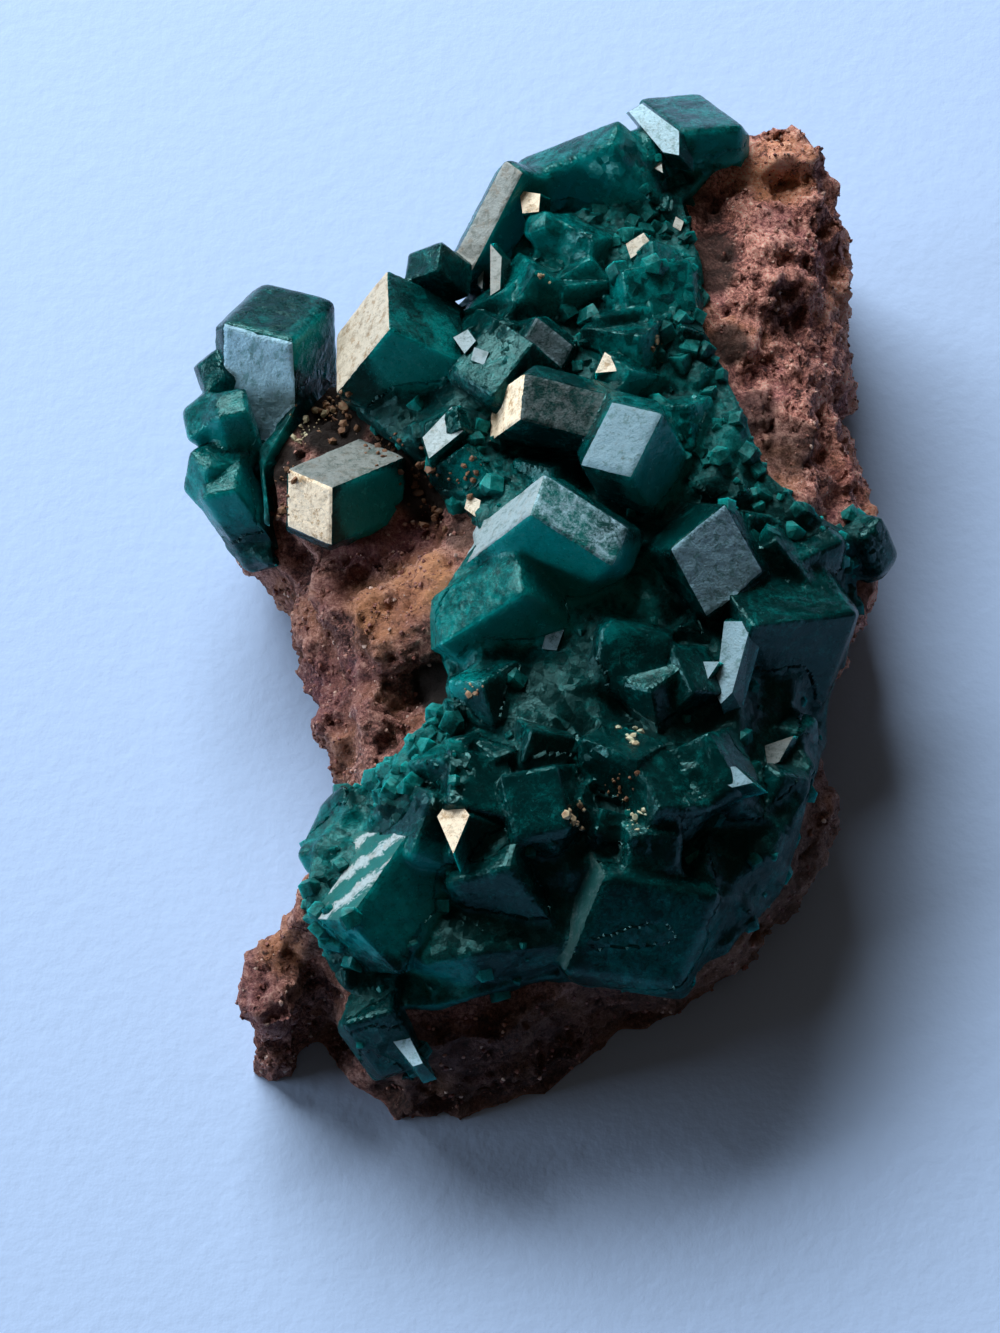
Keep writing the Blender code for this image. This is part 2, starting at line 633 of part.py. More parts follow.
def centring_offset(meshes):
    """What moves the middle of the whole specimen's footprint to the origin."""
    corners = np.array([vertex.co for mesh in meshes for vertex in mesh.vertices])
    low, high = corners.min(axis=0), corners.max(axis=0)
    return Vector((-(low[0] + high[0]) / 2.0, -(low[1] + high[1]) / 2.0, -low[2]))


def stray_crystal_on(rock_mesh):
    """The tiny loose crystal that sits on the front ledge, on the sight line where it is seen."""
    stray = place_seen_crystal(STRAY_CRYSTAL)
    sight = (stray.tip - eye_point()).normalized()
    ground, normal, _, _ = surface_of(rock_mesh).ray_cast(eye_point(), sight)
    clear = GAP + STRAY_CRYSTAL.root
    stray.tip = ground - sight * (clear / max(0.5, -sight.dot(normal)))
    return stray


def build():
    clear_scene()
    pieces = make_collection(COLLECTION_NAME)
    make_collection(HELPER_COLLECTION_NAME, helper=True)
    draw = random.Random(CRUST_SEED)

    rock_mesh = faceted_rock(rock_form())
    ground = make_helper("rock_clearance", swollen_copy(rock_mesh, GAP))

    block = place_seen_crystal(BLOCKY_CRYSTAL)
    block_clearance = make_helper("block_clearance", block.mesh("block_clearance", growth=GAP))
    left = [place_seen_crystal(crystal) for crystal in LEFT_CRYSTALS]
    main = [place_seen_crystal(crystal) for crystal in MAIN_CRYSTALS]
    left += crust_crystals(LEFT_CRUST_OUTLINE, rock_mesh, left, draw)
    main += crust_crystals(MAIN_CRUST_OUTLINE, rock_mesh, main, draw)

    block_mesh = tidy_solid(join_crystals("block", [block.mesh("block")], [ground]), "block")
    left_meshes = [crystal.mesh("left") for crystal in left]
    left_meshes.append(crust_bed(LEFT_CRUST_OUTLINE, rock_mesh))
    left_mesh = tidy_solid(join_crystals("left", left_meshes, [ground, block_clearance]), "left")
    left_wide = [crystal.mesh("left", growth=GAP) for crystal in left]
    left_wide.append(crust_bed(LEFT_CRUST_OUTLINE, rock_mesh, growth=GAP))
    left_clearance = make_helper("left_clearance", join_crystals("left_wide", left_wide, []))
    main_meshes = [crystal.mesh("main") for crystal in main]
    main_meshes.append(crust_bed(MAIN_CRUST_OUTLINE, rock_mesh))
    main_mesh = tidy_solid(
        join_crystals("main", main_meshes, [ground, block_clearance, left_clearance]), "main")
    stray_mesh = tidy_solid(
        join_crystals("stray", [stray_crystal_on(rock_mesh).mesh("stray")], [ground]), "stray")

    green = make_material("dioptase_green", (0.0, 0.16, 0.11), 0.12)
    brown = make_material("matrix_brown", (0.27, 0.13, 0.09), 0.9)
    made = [
        ("matrix_rock", rock_mesh, brown),
        ("main_crystal_crust", main_mesh, green),
        ("left_crystal_cluster", left_mesh, green),
        ("blocky_crystal", block_mesh, green),
        ("stray_crystal", stray_mesh, green),
    ]
    offset = centring_offset([mesh for _, mesh, _ in made])
    for name, mesh, material in made:
        finish_piece(name, mesh, material, pieces, offset)


build()
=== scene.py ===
# %% [markdown]
# # A dioptase specimen, from plain solids to a finished look
# Dioptase is a green copper silicate. Its crystals are stubby six-sided prisms, and each ends in a
# low tip of three rhombic faces, so that a crystal looks much like the corner of a cube. Here a crust
# of them covers a crumbly reddish matrix rock. This lesson starts from plain faceted solids that have
# the right sizes and places. It adds what the eye needs: worn edges, growth marks, small crystals,
# pores, colour and light.

# %% Load the plain solids
import math
import random

import bmesh
import bpy
import numpy as np
from mathutils import Matrix, Vector, noise
from mathutils.bvhtree import BVHTree


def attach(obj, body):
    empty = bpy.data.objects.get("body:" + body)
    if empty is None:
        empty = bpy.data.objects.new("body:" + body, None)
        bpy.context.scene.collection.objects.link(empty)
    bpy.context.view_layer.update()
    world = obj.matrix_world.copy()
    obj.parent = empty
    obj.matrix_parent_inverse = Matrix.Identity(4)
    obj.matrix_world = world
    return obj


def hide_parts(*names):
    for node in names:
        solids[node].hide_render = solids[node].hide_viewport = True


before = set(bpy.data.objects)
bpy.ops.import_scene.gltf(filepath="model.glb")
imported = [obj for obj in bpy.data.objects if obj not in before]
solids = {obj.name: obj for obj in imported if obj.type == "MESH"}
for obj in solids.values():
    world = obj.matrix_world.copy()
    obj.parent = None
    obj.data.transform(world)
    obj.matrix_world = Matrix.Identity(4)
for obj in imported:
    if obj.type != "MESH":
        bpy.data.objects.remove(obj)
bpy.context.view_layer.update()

MM = 0.001

# %% [markdown]
# ## How the specimen is seen
# The specimen is seen from the front and well above, as a collector looks down at a piece on the desk.
# Marks that belong to one crystal face are placed by where they are seen: `across` and `up` are
# millimetres on a picture plane through the middle of the specimen. This is easier to read than
# coordinates in space, and a ray from the eye then finds the face. The window's place is set here as
# well, because later steps ask which way a surface is turned from it.

# %% The eye and its rays
EYE_ELEVATION = math.radians(65.0)
EYE_DISTANCE = 400.0 * MM
PICTURE_CENTRE = Vector((-2.474, -6.536, 10.0)) * MM
PICTURE_HEIGHT = 82.65 * MM
WINDOW_PLACE = Vector((-0.29, 0.56, 0.45))
TOWARD_WINDOW = WINDOW_PLACE.normalized()
toward_eye = Vector((0.0, -math.cos(EYE_ELEVATION), math.sin(EYE_ELEVATION)))
picture_up = Vector((0.0, math.sin(EYE_ELEVATION), math.cos(EYE_ELEVATION)))
eye = PICTURE_CENTRE + toward_eye * EYE_DISTANCE


def sight(across, up):
    """The direction in which the eye sees a place on the picture plane."""
    seen = PICTURE_CENTRE + Vector((across, 0.0, 0.0)) * MM + picture_up * (up * MM)
    return (seen - eye).normalized()


camera_data = bpy.data.cameras.new("eye_of_collector")
camera_data.sensor_fit = "VERTICAL"
camera_data.sensor_height = 24.0
camera_data.lens = 24.0 * EYE_DISTANCE / PICTURE_HEIGHT
camera_data.clip_start = 0.01
camera = bpy.data.objects.new("eye_of_collector", camera_data)
camera.location = eye
camera.rotation_euler = (math.radians(90.0) - EYE_ELEVATION, 0.0, 0.0)
bpy.context.scene.collection.objects.link(camera)
bpy.context.scene.camera = camera
print("lens", round(camera_data.lens, 1), "mm, eye at", [round(v, 4) for v in eye])

# %% [markdown]
# Some things on a crystal don't follow its faces, such as a worn corner, or a painted glow that stands
# in for light coming through a crystal. They are laid on as soft round spots on the same picture plane,
# and each point of a mesh takes the strongest spot that covers it.

# %% Soft spots, as seen by the eye
# A spot is full at the middle and gone at its reach, both as shares of its radius.
SPOT_REACH = 1.25
SPOT_SOFTNESS = 0.6


def as_seen(points):
    """Where points in space are seen on the picture plane, in millimetres."""
    from_eye = points - np.array(eye)
    depth = from_eye @ -np.array(toward_eye)
    scale = EYE_DISTANCE / depth / MM
    return from_eye[:, 0] * scale, (from_eye @ np.array(picture_up)) * scale


def spots_on(points, spots):
    """The strongest spot at each point: a spot is across, up, radius and strength."""
    across, up = as_seen(points)
    strongest = np.zeros(len(points))
    for spot_across, spot_up, radius, strength in spots:
        distance = np.hypot(across - spot_across, up - spot_up) / radius
        edge = np.clip((SPOT_REACH - distance) / SPOT_SOFTNESS, 0.0, 1.0)
        strongest = np.maximum(strongest, strength * edge * edge * (3.0 - 2.0 * edge))
    return strongest


def mesh_points(mesh):
    points = np.empty(len(mesh.vertices) * 3)
    mesh.vertices.foreach_get("co", points)
    return points.reshape(-1, 3)


def mesh_normals(mesh):
    normals = np.empty(len(mesh.vertices) * 3)
    mesh.vertex_normals.foreach_get("vector", normals)
    return normals.reshape(-1, 3)


def store_on_points(mesh, name, values):
    """Keep one number at each point of a mesh, for materials and geometry trees to read."""
    mesh.attributes.new(name, "FLOAT", "POINT").data.foreach_set("value", values)


print("a spot fades out at", SPOT_REACH, "times its radius")

# %% [markdown]
# ## Writing node trees as sums
# Colour and relief come from trees of nodes. Written link by link they are hard to follow, so one
# small class lets a node's output be added, multiplied and compared like a number, and one method
# makes any other node. The same class serves materials and geometry.

# %% Sums of node outputs
def find_socket(sockets, key):
    """A socket by its place, its identifier or its name."""
    if isinstance(key, int):
        return sockets[key]
    for socket in sockets:
        if socket.identifier == key:
            return socket
    return sockets[key]


class Value:
    """The output of a node, which can be used in sums."""

    def __init__(self, tree, socket):
        self.tree = tree
        self.socket = socket

    def out(self, key):
        """Another output of the same node."""
        return Value(self.tree, find_socket(self.socket.node.outputs, key))

    def maths(self, operation, *terms):
        return self.tree.node("ShaderNodeMath", {"operation": operation}, dict(enumerate(terms)))

    def __add__(self, other):
        return self.maths("ADD", self, other)

    def __radd__(self, other):
        return self.maths("ADD", other, self)

    def __sub__(self, other):
        return self.maths("SUBTRACT", self, other)

    def __rsub__(self, other):
        return self.maths("SUBTRACT", other, self)

    def __mul__(self, other):
        return self.maths("MULTIPLY", self, other)

    def __rmul__(self, other):
        return self.maths("MULTIPLY", other, self)

    def __truediv__(self, other):
        return self.maths("DIVIDE", self, other)

    def power(self, exponent):
        return self.maths("POWER", self, exponent)

    def magnitude(self):
        return self.maths("ABSOLUTE", self)

    def stepped(self):
        """The whole number below, which turns a slope into a flight of steps."""
        return self.maths("SNAP", self, 1.0)

    def to_and_fro(self):
        """Up to 1 and back to 0 again and again, for stripes."""
        return self.maths("PINGPONG", self, 1.0)

    def between(self, low, high):
        """0 below `low`, 1 above `high`, and smooth from one to the other."""
        return self.tree.node(
            "ShaderNodeMapRange", {"interpolation_type": "SMOOTHSTEP"},
            {"Value": self, "From Min": low, "From Max": high})


print("sums of node outputs ready")

# %% [markdown]
# The other half of the language makes nodes. `node` makes any node: its settings come first, because
# they decide which sockets it has. The few kinds that every rough surface needs, such as cloudy noise
# and cells, have short names of their own, and their size is given in millimetres on the stone.

# %% One method for any node
class Tree:
    """A node tree, with one method that makes any node."""

    def __init__(self, tree):
        self.tree = tree

    def node(self, kind, settings=None, inputs=None, output=0):
        made = self.tree.nodes.new(kind)
        for name, setting in (settings or {}).items():
            if name == "stops":
                self.set_stops(made.color_ramp, setting)
            else:
                setattr(made, name, setting)
        for key, value in (inputs or {}).items():
            socket = find_socket(made.inputs, key)
            if isinstance(value, Value):
                self.tree.links.new(value.socket, socket)
            else:
                socket.default_value = value
        return Value(self, find_socket(made.outputs, output)) if made.outputs else made

    @staticmethod
    def set_stops(ramp, stops):
        while len(ramp.elements) < len(stops):
            ramp.elements.new(1.0)
        for element, (place, colour) in zip(ramp.elements, stops):
            element.position = place
            element.color = (*colour, 1.0)

    def noise(self, where, size, detail=3.0, roughness=0.55, distortion=0.0, output=0):
        """Cloudy noise with lumps of about this size, from 0 to 1."""
        return self.node(
            "ShaderNodeTexNoise", {},
            {"Vector": where, "Scale": 1.0 / size, "Detail": detail, "Roughness": roughness,
             "Distortion": distortion}, output)

    def cells(self, where, size, feature="F1", output=0):
        """Noise of round cells of about this size."""
        return self.node(
            "ShaderNodeTexVoronoi", {"feature": feature},
            {"Vector": where, "Scale": 1.0 / size}, output)

    def blend(self, share, first, second):
        """The first colour where share is 0, and the second where it is 1."""
        return self.node(
            "ShaderNodeMix", {"data_type": "RGBA"},
            {"Factor_Float": share, "A_Color": first, "B_Color": second}, "Result_Color")

    def shift(self, vector, amount):
        return self.node("ShaderNodeVectorMath", {"operation": "ADD"}, {0: vector, 1: amount})


def colour(red, green, blue):
    return (red, green, blue, 1.0)


print("node language ready")

# %% [markdown]
# ## Helpers for meshes
# Each finished piece is a plain mesh that sits at the origin, with its place in its points. A modifier
# is only a tool on the way: once it has done its work, its result becomes the mesh.

# %% Plain meshes
def new_piece(name, mesh):
    piece = bpy.data.objects.new(name, mesh)
    bpy.context.scene.collection.objects.link(piece)
    return piece


def settled(piece):
    """Carry out a piece's modifiers for good."""
    bpy.context.view_layer.update()
    graph = bpy.context.evaluated_depsgraph_get()
    mesh = bpy.data.meshes.new_from_object(piece.evaluated_get(graph))
    piece.modifiers.clear()
    old = piece.data
    piece.data = mesh
    bpy.data.meshes.remove(old)
    return piece


def joined_copy(node_name):
    """A plain solid as one closed mesh: its corners are merged again."""
    solid = bmesh.new()
    solid.from_mesh(solids[node_name].data)
    bmesh.ops.remove_doubles(solid, verts=solid.verts[:], dist=2e-6)
    return solid


print("mesh helpers ready")

# %% [markdown]
# Things that repeat by the thousand, or that follow a surface, are made by geometry trees. A tree has
# named inputs for its sizes, and it ends in real meshes with their material.

# %% Geometry trees
def geometry_tree(name, sizes):
    """An empty geometry tree with one geometry input and named number inputs."""
    group = bpy.data.node_groups.new(name, "GeometryNodeTree")
    group.interface.new_socket("Geometry", in_out="INPUT", socket_type="NodeSocketGeometry")
    for size_name, size in sizes.items():
        kind = "NodeSocketInt" if isinstance(size, int) else "NodeSocketFloat"
        socket = group.interface.new_socket(size_name, in_out="INPUT", socket_type=kind)
        socket.default_value = size
    group.interface.new_socket("Geometry", in_out="OUTPUT", socket_type="NodeSocketGeometry")
    tree = Tree(group)
    given = tree.node("NodeGroupInput")
    return group, tree, given


def finish_tree(tree, geometry, material, chosen=True):
    """Every geometry tree ends in real meshes, with their material on the chosen faces."""
    real = tree.node("GeometryNodeRealizeInstances", {}, {"Geometry": geometry})
    painted = tree.node(
        "GeometryNodeSetMaterial", {}, {"Geometry": real, "Selection": chosen, "Material": material})
    out = tree.tree.nodes.new("NodeGroupOutput")
    tree.tree.links.new(painted.socket, out.inputs[0])


def run_tree(piece, group, values=None):
    """Run a geometry tree on a piece, with its inputs set by their identifiers first."""
    modifier = piece.modifiers.new(group.name, "NODES")
    modifier.node_group = group
    identifiers = {
        item.name: item.identifier for item in group.interface.items_tree
        if item.item_type == "SOCKET" and item.in_out == "INPUT"}
    for name, value in (values or {}).items():
        modifier[identifiers[name]] = value
    return settled(piece)


print("geometry helpers ready")

# %% [markdown]
# ## The colour of the crystals
# Dioptase is deep emerald green with a touch of blue. Thick crystals are nearly black-green, and thin
# edges glow teal, because the stone absorbs red light first. So the body is partly clear, it absorbs
# light inside, and it scatters some of it a little way under the surface. Cloudy veils and healed
# cracks are brighter teal patches of the body colour, and a painted glow adds more of them, standing
# in for light that comes through the crystal. Faces are glassy but not perfect, because growth marks
# and etching make their shine uneven.

# %% The start and the end of a material
def new_material(name):
    material = bpy.data.materials.new(name)
    material.use_nodes = True
    material.node_tree.nodes.clear()
    return material, Tree(material.node_tree)


def finish_material(tree, surface, volume=None):
    out = tree.tree.nodes.new("ShaderNodeOutputMaterial")
    tree.tree.links.new(surface.socket, out.inputs["Surface"])
    if volume is not None:
        tree.tree.links.new(volume.socket, out.inputs["Volume"])


def object_place(tree):
    return tree.node("ShaderNodeTexCoord", {}, {}, "Object")


def stored(tree, name):
    """A number that was kept at the points of the mesh."""
    return tree.node("ShaderNodeAttribute", {"attribute_name": name}, {}, "Fac")


print("material helpers ready")

# %% [markdown]
# The smallest relief is too fine for the mesh, so it is a bump in the material. Ripples and grain lie
# on every face. Where the crust is a druse, a mosaic of tiny facets is added: every cell of a cell
# pattern becomes a flat patch with its own random tilt.

# %% Growth marks as a bump
def mosaic(tree, where, size):
    """The height of many small flat facets, each tilted its own way."""
    chance = tree.cells(where, size, "F1", "Color")
    place = chance.out("Position")
    tilt = tree.node("ShaderNodeVectorMath", {"operation": "SUBTRACT"}, {0: chance, 1: (0.5, 0.5, 0.5)})
    # The Voronoi node gives each cell's middle at the scale of the texture.
    scaled = tree.node("ShaderNodeVectorMath", {"operation": "SCALE"}, {0: where, "Scale": 1.0 / size})
    inside = tree.node("ShaderNodeVectorMath", {"operation": "SUBTRACT"}, {0: scaled, 1: place})
    return tree.node(
        "ShaderNodeVectorMath", {"operation": "DOT_PRODUCT"}, {0: tilt, 1: inside}, "Value")


def growth_relief(tree, where, strength, druse=None):
    """Fine growth ripples and pits as a bump, with tiny facets where the crust is a druse."""
    ripples = tree.noise(where, 0.9 * MM, 5.0, 0.65, 0.6)
    grain = tree.noise(where, 0.14 * MM, 3.0, 0.6)
    height = ripples * 0.7 + grain * 0.3
    smooth = tree.node(
        "ShaderNodeBump", {}, {"Strength": strength, "Distance": 0.25 * MM, "Height": height})
    if druse is None:
        return smooth
    facets = mosaic(tree, where, 1.1 * MM) * 0.8 + mosaic(tree, where, 0.45 * MM) * 0.3
    return tree.node("ShaderNodeBump", {}, {
        "Strength": 1.0, "Distance": 0.85 * MM, "Height": facets * (0.05 + druse * 0.8),
        "Normal": smooth})


print("growth marks ready")

# %% The clear green material
DIOPTASE_IOR = 1.66
SEE_THROUGH = 0.3
SHEEN_TINT = colour(0.25, 0.80, 0.84)
# Red light is scattered least and absorbed most.
SCATTER_DEPTH = 2.2 * MM
SCATTER_OF_COLOURS = (0.03, 1.0, 1.0)
ABSORBED = colour(0.05, 0.72, 0.66)
ABSORBED_PER_METRE = 180.0


def make_dioptase(name, deep, bright, cloudiness):
    """Green from `deep` to `bright`, with veils, healed cracks, dust, pits and a stored painted glow.
    """
    material, tree = new_material(name)
    where = object_place(tree)
    cloud, druse = stored(tree, "cloud"), stored(tree, "druse")
    veils = tree.noise(where, 2.2 * MM, 6.0, 0.68, 1.4)
    threads = tree.noise(where, 0.5 * MM, 5.0, 0.75, 2.0)
    # The stored painted glow lightens the body toward `bright`.
    brightness = (veils * 0.9 + cloud * 0.7 + threads * 0.7 - 0.4).between(0.36 - cloudiness, 1.05)
    body = tree.blend(brightness, colour(*deep), colour(*bright))
    # Healed cracks are thin pale lines where a noise crosses its middle value.
    healed = tree.noise(tree.shift(where, (0.0, 7.0 * MM, 0.0)), 1.3 * MM, 3.0, 0.6, 1.0)
    cracks = (healed - 0.5).magnitude().between(0.022, 0.0)
    cracks = cracks * veils.between(0.42, 0.6) * (cloud * 0.7 + 0.3)
    body = tree.blend(cracks * 0.5, body, colour(0.03, 0.41, 0.40))
    sharp = tree.noise(where, 0.24 * MM, 4.0, 0.8, 0.5)
    dust = (sharp * 0.7 + veils * 0.3 + cloud * 0.05 + druse * 0.06).between(0.56, 0.70)
    body = tree.blend(dust * (cloud * 0.5 + 0.25), body, colour(0.03, 0.31, 0.32))
    pits = (sharp * 0.6 + threads * 0.4).between(0.46, 0.34)
    body = tree.blend(pits * 0.75, body, colour(0.0, 0.008, 0.009))
    sheen = tree.noise(tree.shift(where, (3.1 * MM, 0.0, 0.0)), 0.8 * MM, 5.0, 0.7)
    shader = tree.node("ShaderNodeBsdfPrincipled", {}, {
        "Base Color": body,
        "Roughness": 0.08 + 0.2 * sheen.between(0.35, 0.65) + druse * 0.4,
        "IOR": DIOPTASE_IOR,
        "Specular IOR Level": 0.10,
        "Specular Tint": SHEEN_TINT,
        "Transmission Weight": SEE_THROUGH,
        "Subsurface Weight": 0.5,
        "Subsurface Radius": SCATTER_OF_COLOURS,
        "Subsurface Scale": SCATTER_DEPTH,
        "Normal": growth_relief(tree, where, 0.3, druse),
    })
    volume = tree.node(
        "ShaderNodeVolumeAbsorption", {}, {"Color": ABSORBED, "Density": ABSORBED_PER_METRE})
    finish_material(tree, shader, volume)
    return material


dioptase = make_dioptase("dioptase", (0.0, 0.025, 0.027), (0.0, 0.33, 0.335), 0.0)
druse_green = make_dioptase("druse_green", (0.0, 0.035, 0.037), (0.005, 0.34, 0.33), 0.1)
print("materials", dioptase.name, druse_green.name)

# %% [markdown]
# ## Frosted faces, with a painted reflection
# Some faces of the real piece are not glassy. A film of fine etching and dust makes them pale, and a
# reflection is painted into it: cream where they face the window, and slate blue where they face the
# room, with a painted lightness for each face. The film is patchy, and the green shows through it. It
# is a second material that lies only on those faces. Four numbers kept on each face say how dense the
# film is, how warm the painted reflection is, how light it is painted, and how banded it is.

# %% The frosted material, with its painted reflection
BAND_WIDTH = 0.62 * MM
# The bands run beside the long edge of one stepped crystal near the front.
BAND_DIRECTION = (-0.59, 0.76, 0.28)


def make_frost_and_painted_reflection(name):
    """Painted reflection in a pale film over green, worn through in patches, streaked and a little
    dirty.
    """
    material, tree = new_material(name)
    where = object_place(tree)
    density, warmth = stored(tree, "film"), stored(tree, "warmth")
    tone, banded = stored(tree, "tone"), stored(tree, "banded")
    patches = tree.noise(where, 1.0 * MM, 7.0, 0.75, 0.8)
    scratches = tree.noise(where, 0.2 * MM, 4.0, 0.75, 0.6)
    along = tree.node(
        "ShaderNodeVectorMath", {"operation": "DOT_PRODUCT"}, {0: where, 1: BAND_DIRECTION}, "Value")
    stripes = along / BAND_WIDTH + patches * 2.8 + scratches * 0.6
    gaps = banded * stripes.to_and_fro().between(0.3, 0.5)
    worn = (density * 1.3 + patches * 2.0 - 1.5 + scratches * 0.9 - 0.35).between(-0.05, 0.5)
    # Painted reflection: cream toward the window and slate blue toward the room, by each face's warmth.
    pale = tree.blend(warmth, colour(0.40, 0.76, 1.0), colour(1.0, 0.86, 0.64))
    stain = tree.noise(tree.shift(where, (0.0, 5.0 * MM, 0.0)), 0.8 * MM, 7.0, 0.8)
    pale = tree.blend(stain.between(0.51, 0.62) * warmth * 0.85, pale, colour(0.42, 0.26, 0.11))
    stretched = tree.node("ShaderNodeMapping", {}, {"Vector": where, "Scale": (1.0, 1.0, 0.22)})
    streaks = tree.noise(stretched, 0.55 * MM, 5.0, 0.7, 0.4)
    dirt = tree.blend(warmth, colour(0.10, 0.32, 0.36), colour(0.34, 0.22, 0.11))
    pale = tree.blend(streaks.between(0.50, 0.36) * (0.7 - warmth * 0.25), pale, dirt)
    pale = tree.blend(scratches.between(0.46, 0.32) * 0.6, pale, colour(0.13, 0.20, 0.20))
    # Painted light: each face's painted lightness takes the film from black up to its pale colour.
    pale = tree.blend(tone, colour(0.0, 0.0, 0.0), pale)
    share = worn * (density * 0.45 + 0.55) * (1.0 - gaps)
    # The green under the film is lighter where the painted glow is stored.
    body = tree.blend(stored(tree, "cloud") * 0.8 + patches * 0.4 - 0.2, colour(0.0, 0.05, 0.05),
                      colour(0.0, 0.32, 0.31))
    skin = tree.blend(share, body, pale)
    shader = tree.node("ShaderNodeBsdfPrincipled", {}, {
        "Base Color": skin,
        "Roughness": 0.34 + 0.4 * scratches,
        "IOR": DIOPTASE_IOR,
        "Specular IOR Level": 0.16,
        "Normal": growth_relief(tree, where, 0.5),
    })
    finish_material(tree, shader)
    return material


frost_and_painted_reflection = make_frost_and_painted_reflection("frosted_face_with_painted_reflection")
print("material", frost_and_painted_reflection.name)

# %% [markdown]
# ## The matrix rock
# The matrix is a weathered, iron-stained sandstone: purple-brown to rust, porous and crumbly, with
# sand grains that catch the light. The plain solid is remeshed finely, and a geometry tree then eats
# pits into it and raises grains. The relief follows the position in space, so it has no seams.

# %% The colours of the rock
def make_rock_material():
    """Painted shade in hollows, painted light on tops, and a few broad zones of rust, purple and tan.
    """
    material, tree = new_material("matrix_stone")
    where = object_place(tree)
    apart = tree.node("ShaderNodeSeparateXYZ", {}, {"Vector": where})
    x, y = apart.out("X") * 1000.0, apart.out("Y") * 1000.0
    depth, stained = stored(tree, "relief"), stored(tree, "stained")
    rusty, purplish = stored(tree, "rusty"), stored(tree, "purplish")
    broad = tree.noise(where, 6.0 * MM, 4.0, 0.6, 0.5)
    rubble = tree.noise(where, 1.0 * MM, 8.0, 0.8, 0.4)
    fine = tree.noise(where, 0.26 * MM, 5.0, 0.8, 0.3)
    # Partly painted light and shade: low places of the bump and relief go dark, high ones pale.
    base = tree.node("ShaderNodeValToRGB", {"stops": [
        (0.30, (0.02, 0.007, 0.008)), (0.42, (0.15, 0.055, 0.05)),
        (0.53, (0.42, 0.185, 0.155)), (0.66, (0.80, 0.48, 0.41))]},
        {"Fac": (rubble * 0.38 + fine * 0.42 + broad * 0.04 + depth * 0.16 - 0.5) * 2.1 + 0.5})
    rust = (broad - rubble * 0.25).between(0.36, 0.52)
    base = tree.blend(rust * 0.4, base, colour(0.58, 0.26, 0.12))
    base = tree.blend(rusty * (rubble + 0.1).between(0.4, 0.65) * 0.8, base, colour(0.78, 0.36, 0.16))
    base = tree.blend(purplish * 0.6, base, colour(0.20, 0.05, 0.09))
    purple = tree.noise(tree.shift(where, (9.0 * MM, 0.0, 0.0)), 4.0 * MM, 3.0).between(0.5, 0.65)
    base = tree.blend(purple * 0.35, base, colour(0.22, 0.07, 0.10))
    tan = ((x - y) + broad * 12.0).between(30.0, 44.0)
    base = tree.blend(tan * 0.6, base, colour(0.26, 0.16, 0.09))
    grains = tree.cells(where, 0.3 * MM).between(0.3, 0.12) * fine.between(0.45, 0.6)
    base = tree.blend(grains * 0.6, base, colour(0.80, 0.58, 0.52))
    # Painted shade: the low parts of the bump are darkened nearly to black.
    painted_shade_in_hollows = (fine * 0.5 + rubble * 0.5).between(0.47, 0.36)
    base = tree.blend(painted_shade_in_hollows * 0.85, base, colour(0.02, 0.008, 0.009))
    # Painted shade: the listed shade spots darken the rock nearly to black.
    painted_shade_share = (stained * 1.3 - rubble * 0.4).between(0.0, 0.9)
    base = tree.blend(painted_shade_share, base, colour(0.016, 0.009, 0.008))
    # Painted light: the right-hand wall is made paler, standing in for the light that falls on it.
    painted_light_on_wall = (x + y * 0.5).between(13.0, 21.0) * (1.0 - tan)
    base = tree.node(
        "ShaderNodeHueSaturation", {}, {"Color": base, "Value": 1.0 + painted_light_on_wall * 1.1})
    height = rubble * 0.5 + fine * 0.5
    bump = tree.node(
        "ShaderNodeBump", {}, {"Strength": 1.0, "Distance": 1.3 * MM, "Height": height})
    shader = tree.node("ShaderNodeBsdfPrincipled", {}, {
        "Base Color": base, "Roughness": 0.8 + 0.18 * rubble, "Normal": bump})
    finish_material(tree, shader)
    return material


matrix_stone = make_rock_material()
print("material", matrix_stone.name)

# %% [markdown]
# Two questions come up again and again: how near is the rock, and how near is a crystal? A search tree
# over the plain solids answers both quickly.

# %% Finding the nearest surface
def surface_of(*node_names):
    """The joined surfaces of some plain solids, for finding the nearest point on them."""
    both = bmesh.new()
    for node_name in node_names:
        both.from_mesh(solids[node_name].data)
    surface = BVHTree.FromBMesh(both)
    both.free()
    return surface


CRYSTAL_NODES = ["main_crystal_crust", "left_crystal_cluster", "blocky_crystal", "stray_crystal"]
rock_surface = surface_of("matrix_rock")
crystal_surface = surface_of(*CRYSTAL_NODES)
print("surfaces of", len(CRYSTAL_NODES) + 1, "solids")

# %% [markdown]
# Weathering works from the outside in. Broad lumps and grains are raised along the rock's own normals,
# and pits are eaten into it, but never under a crystal or at the flat rest. The rise is kept at each
# point, so that the material can paint shade into the pits.

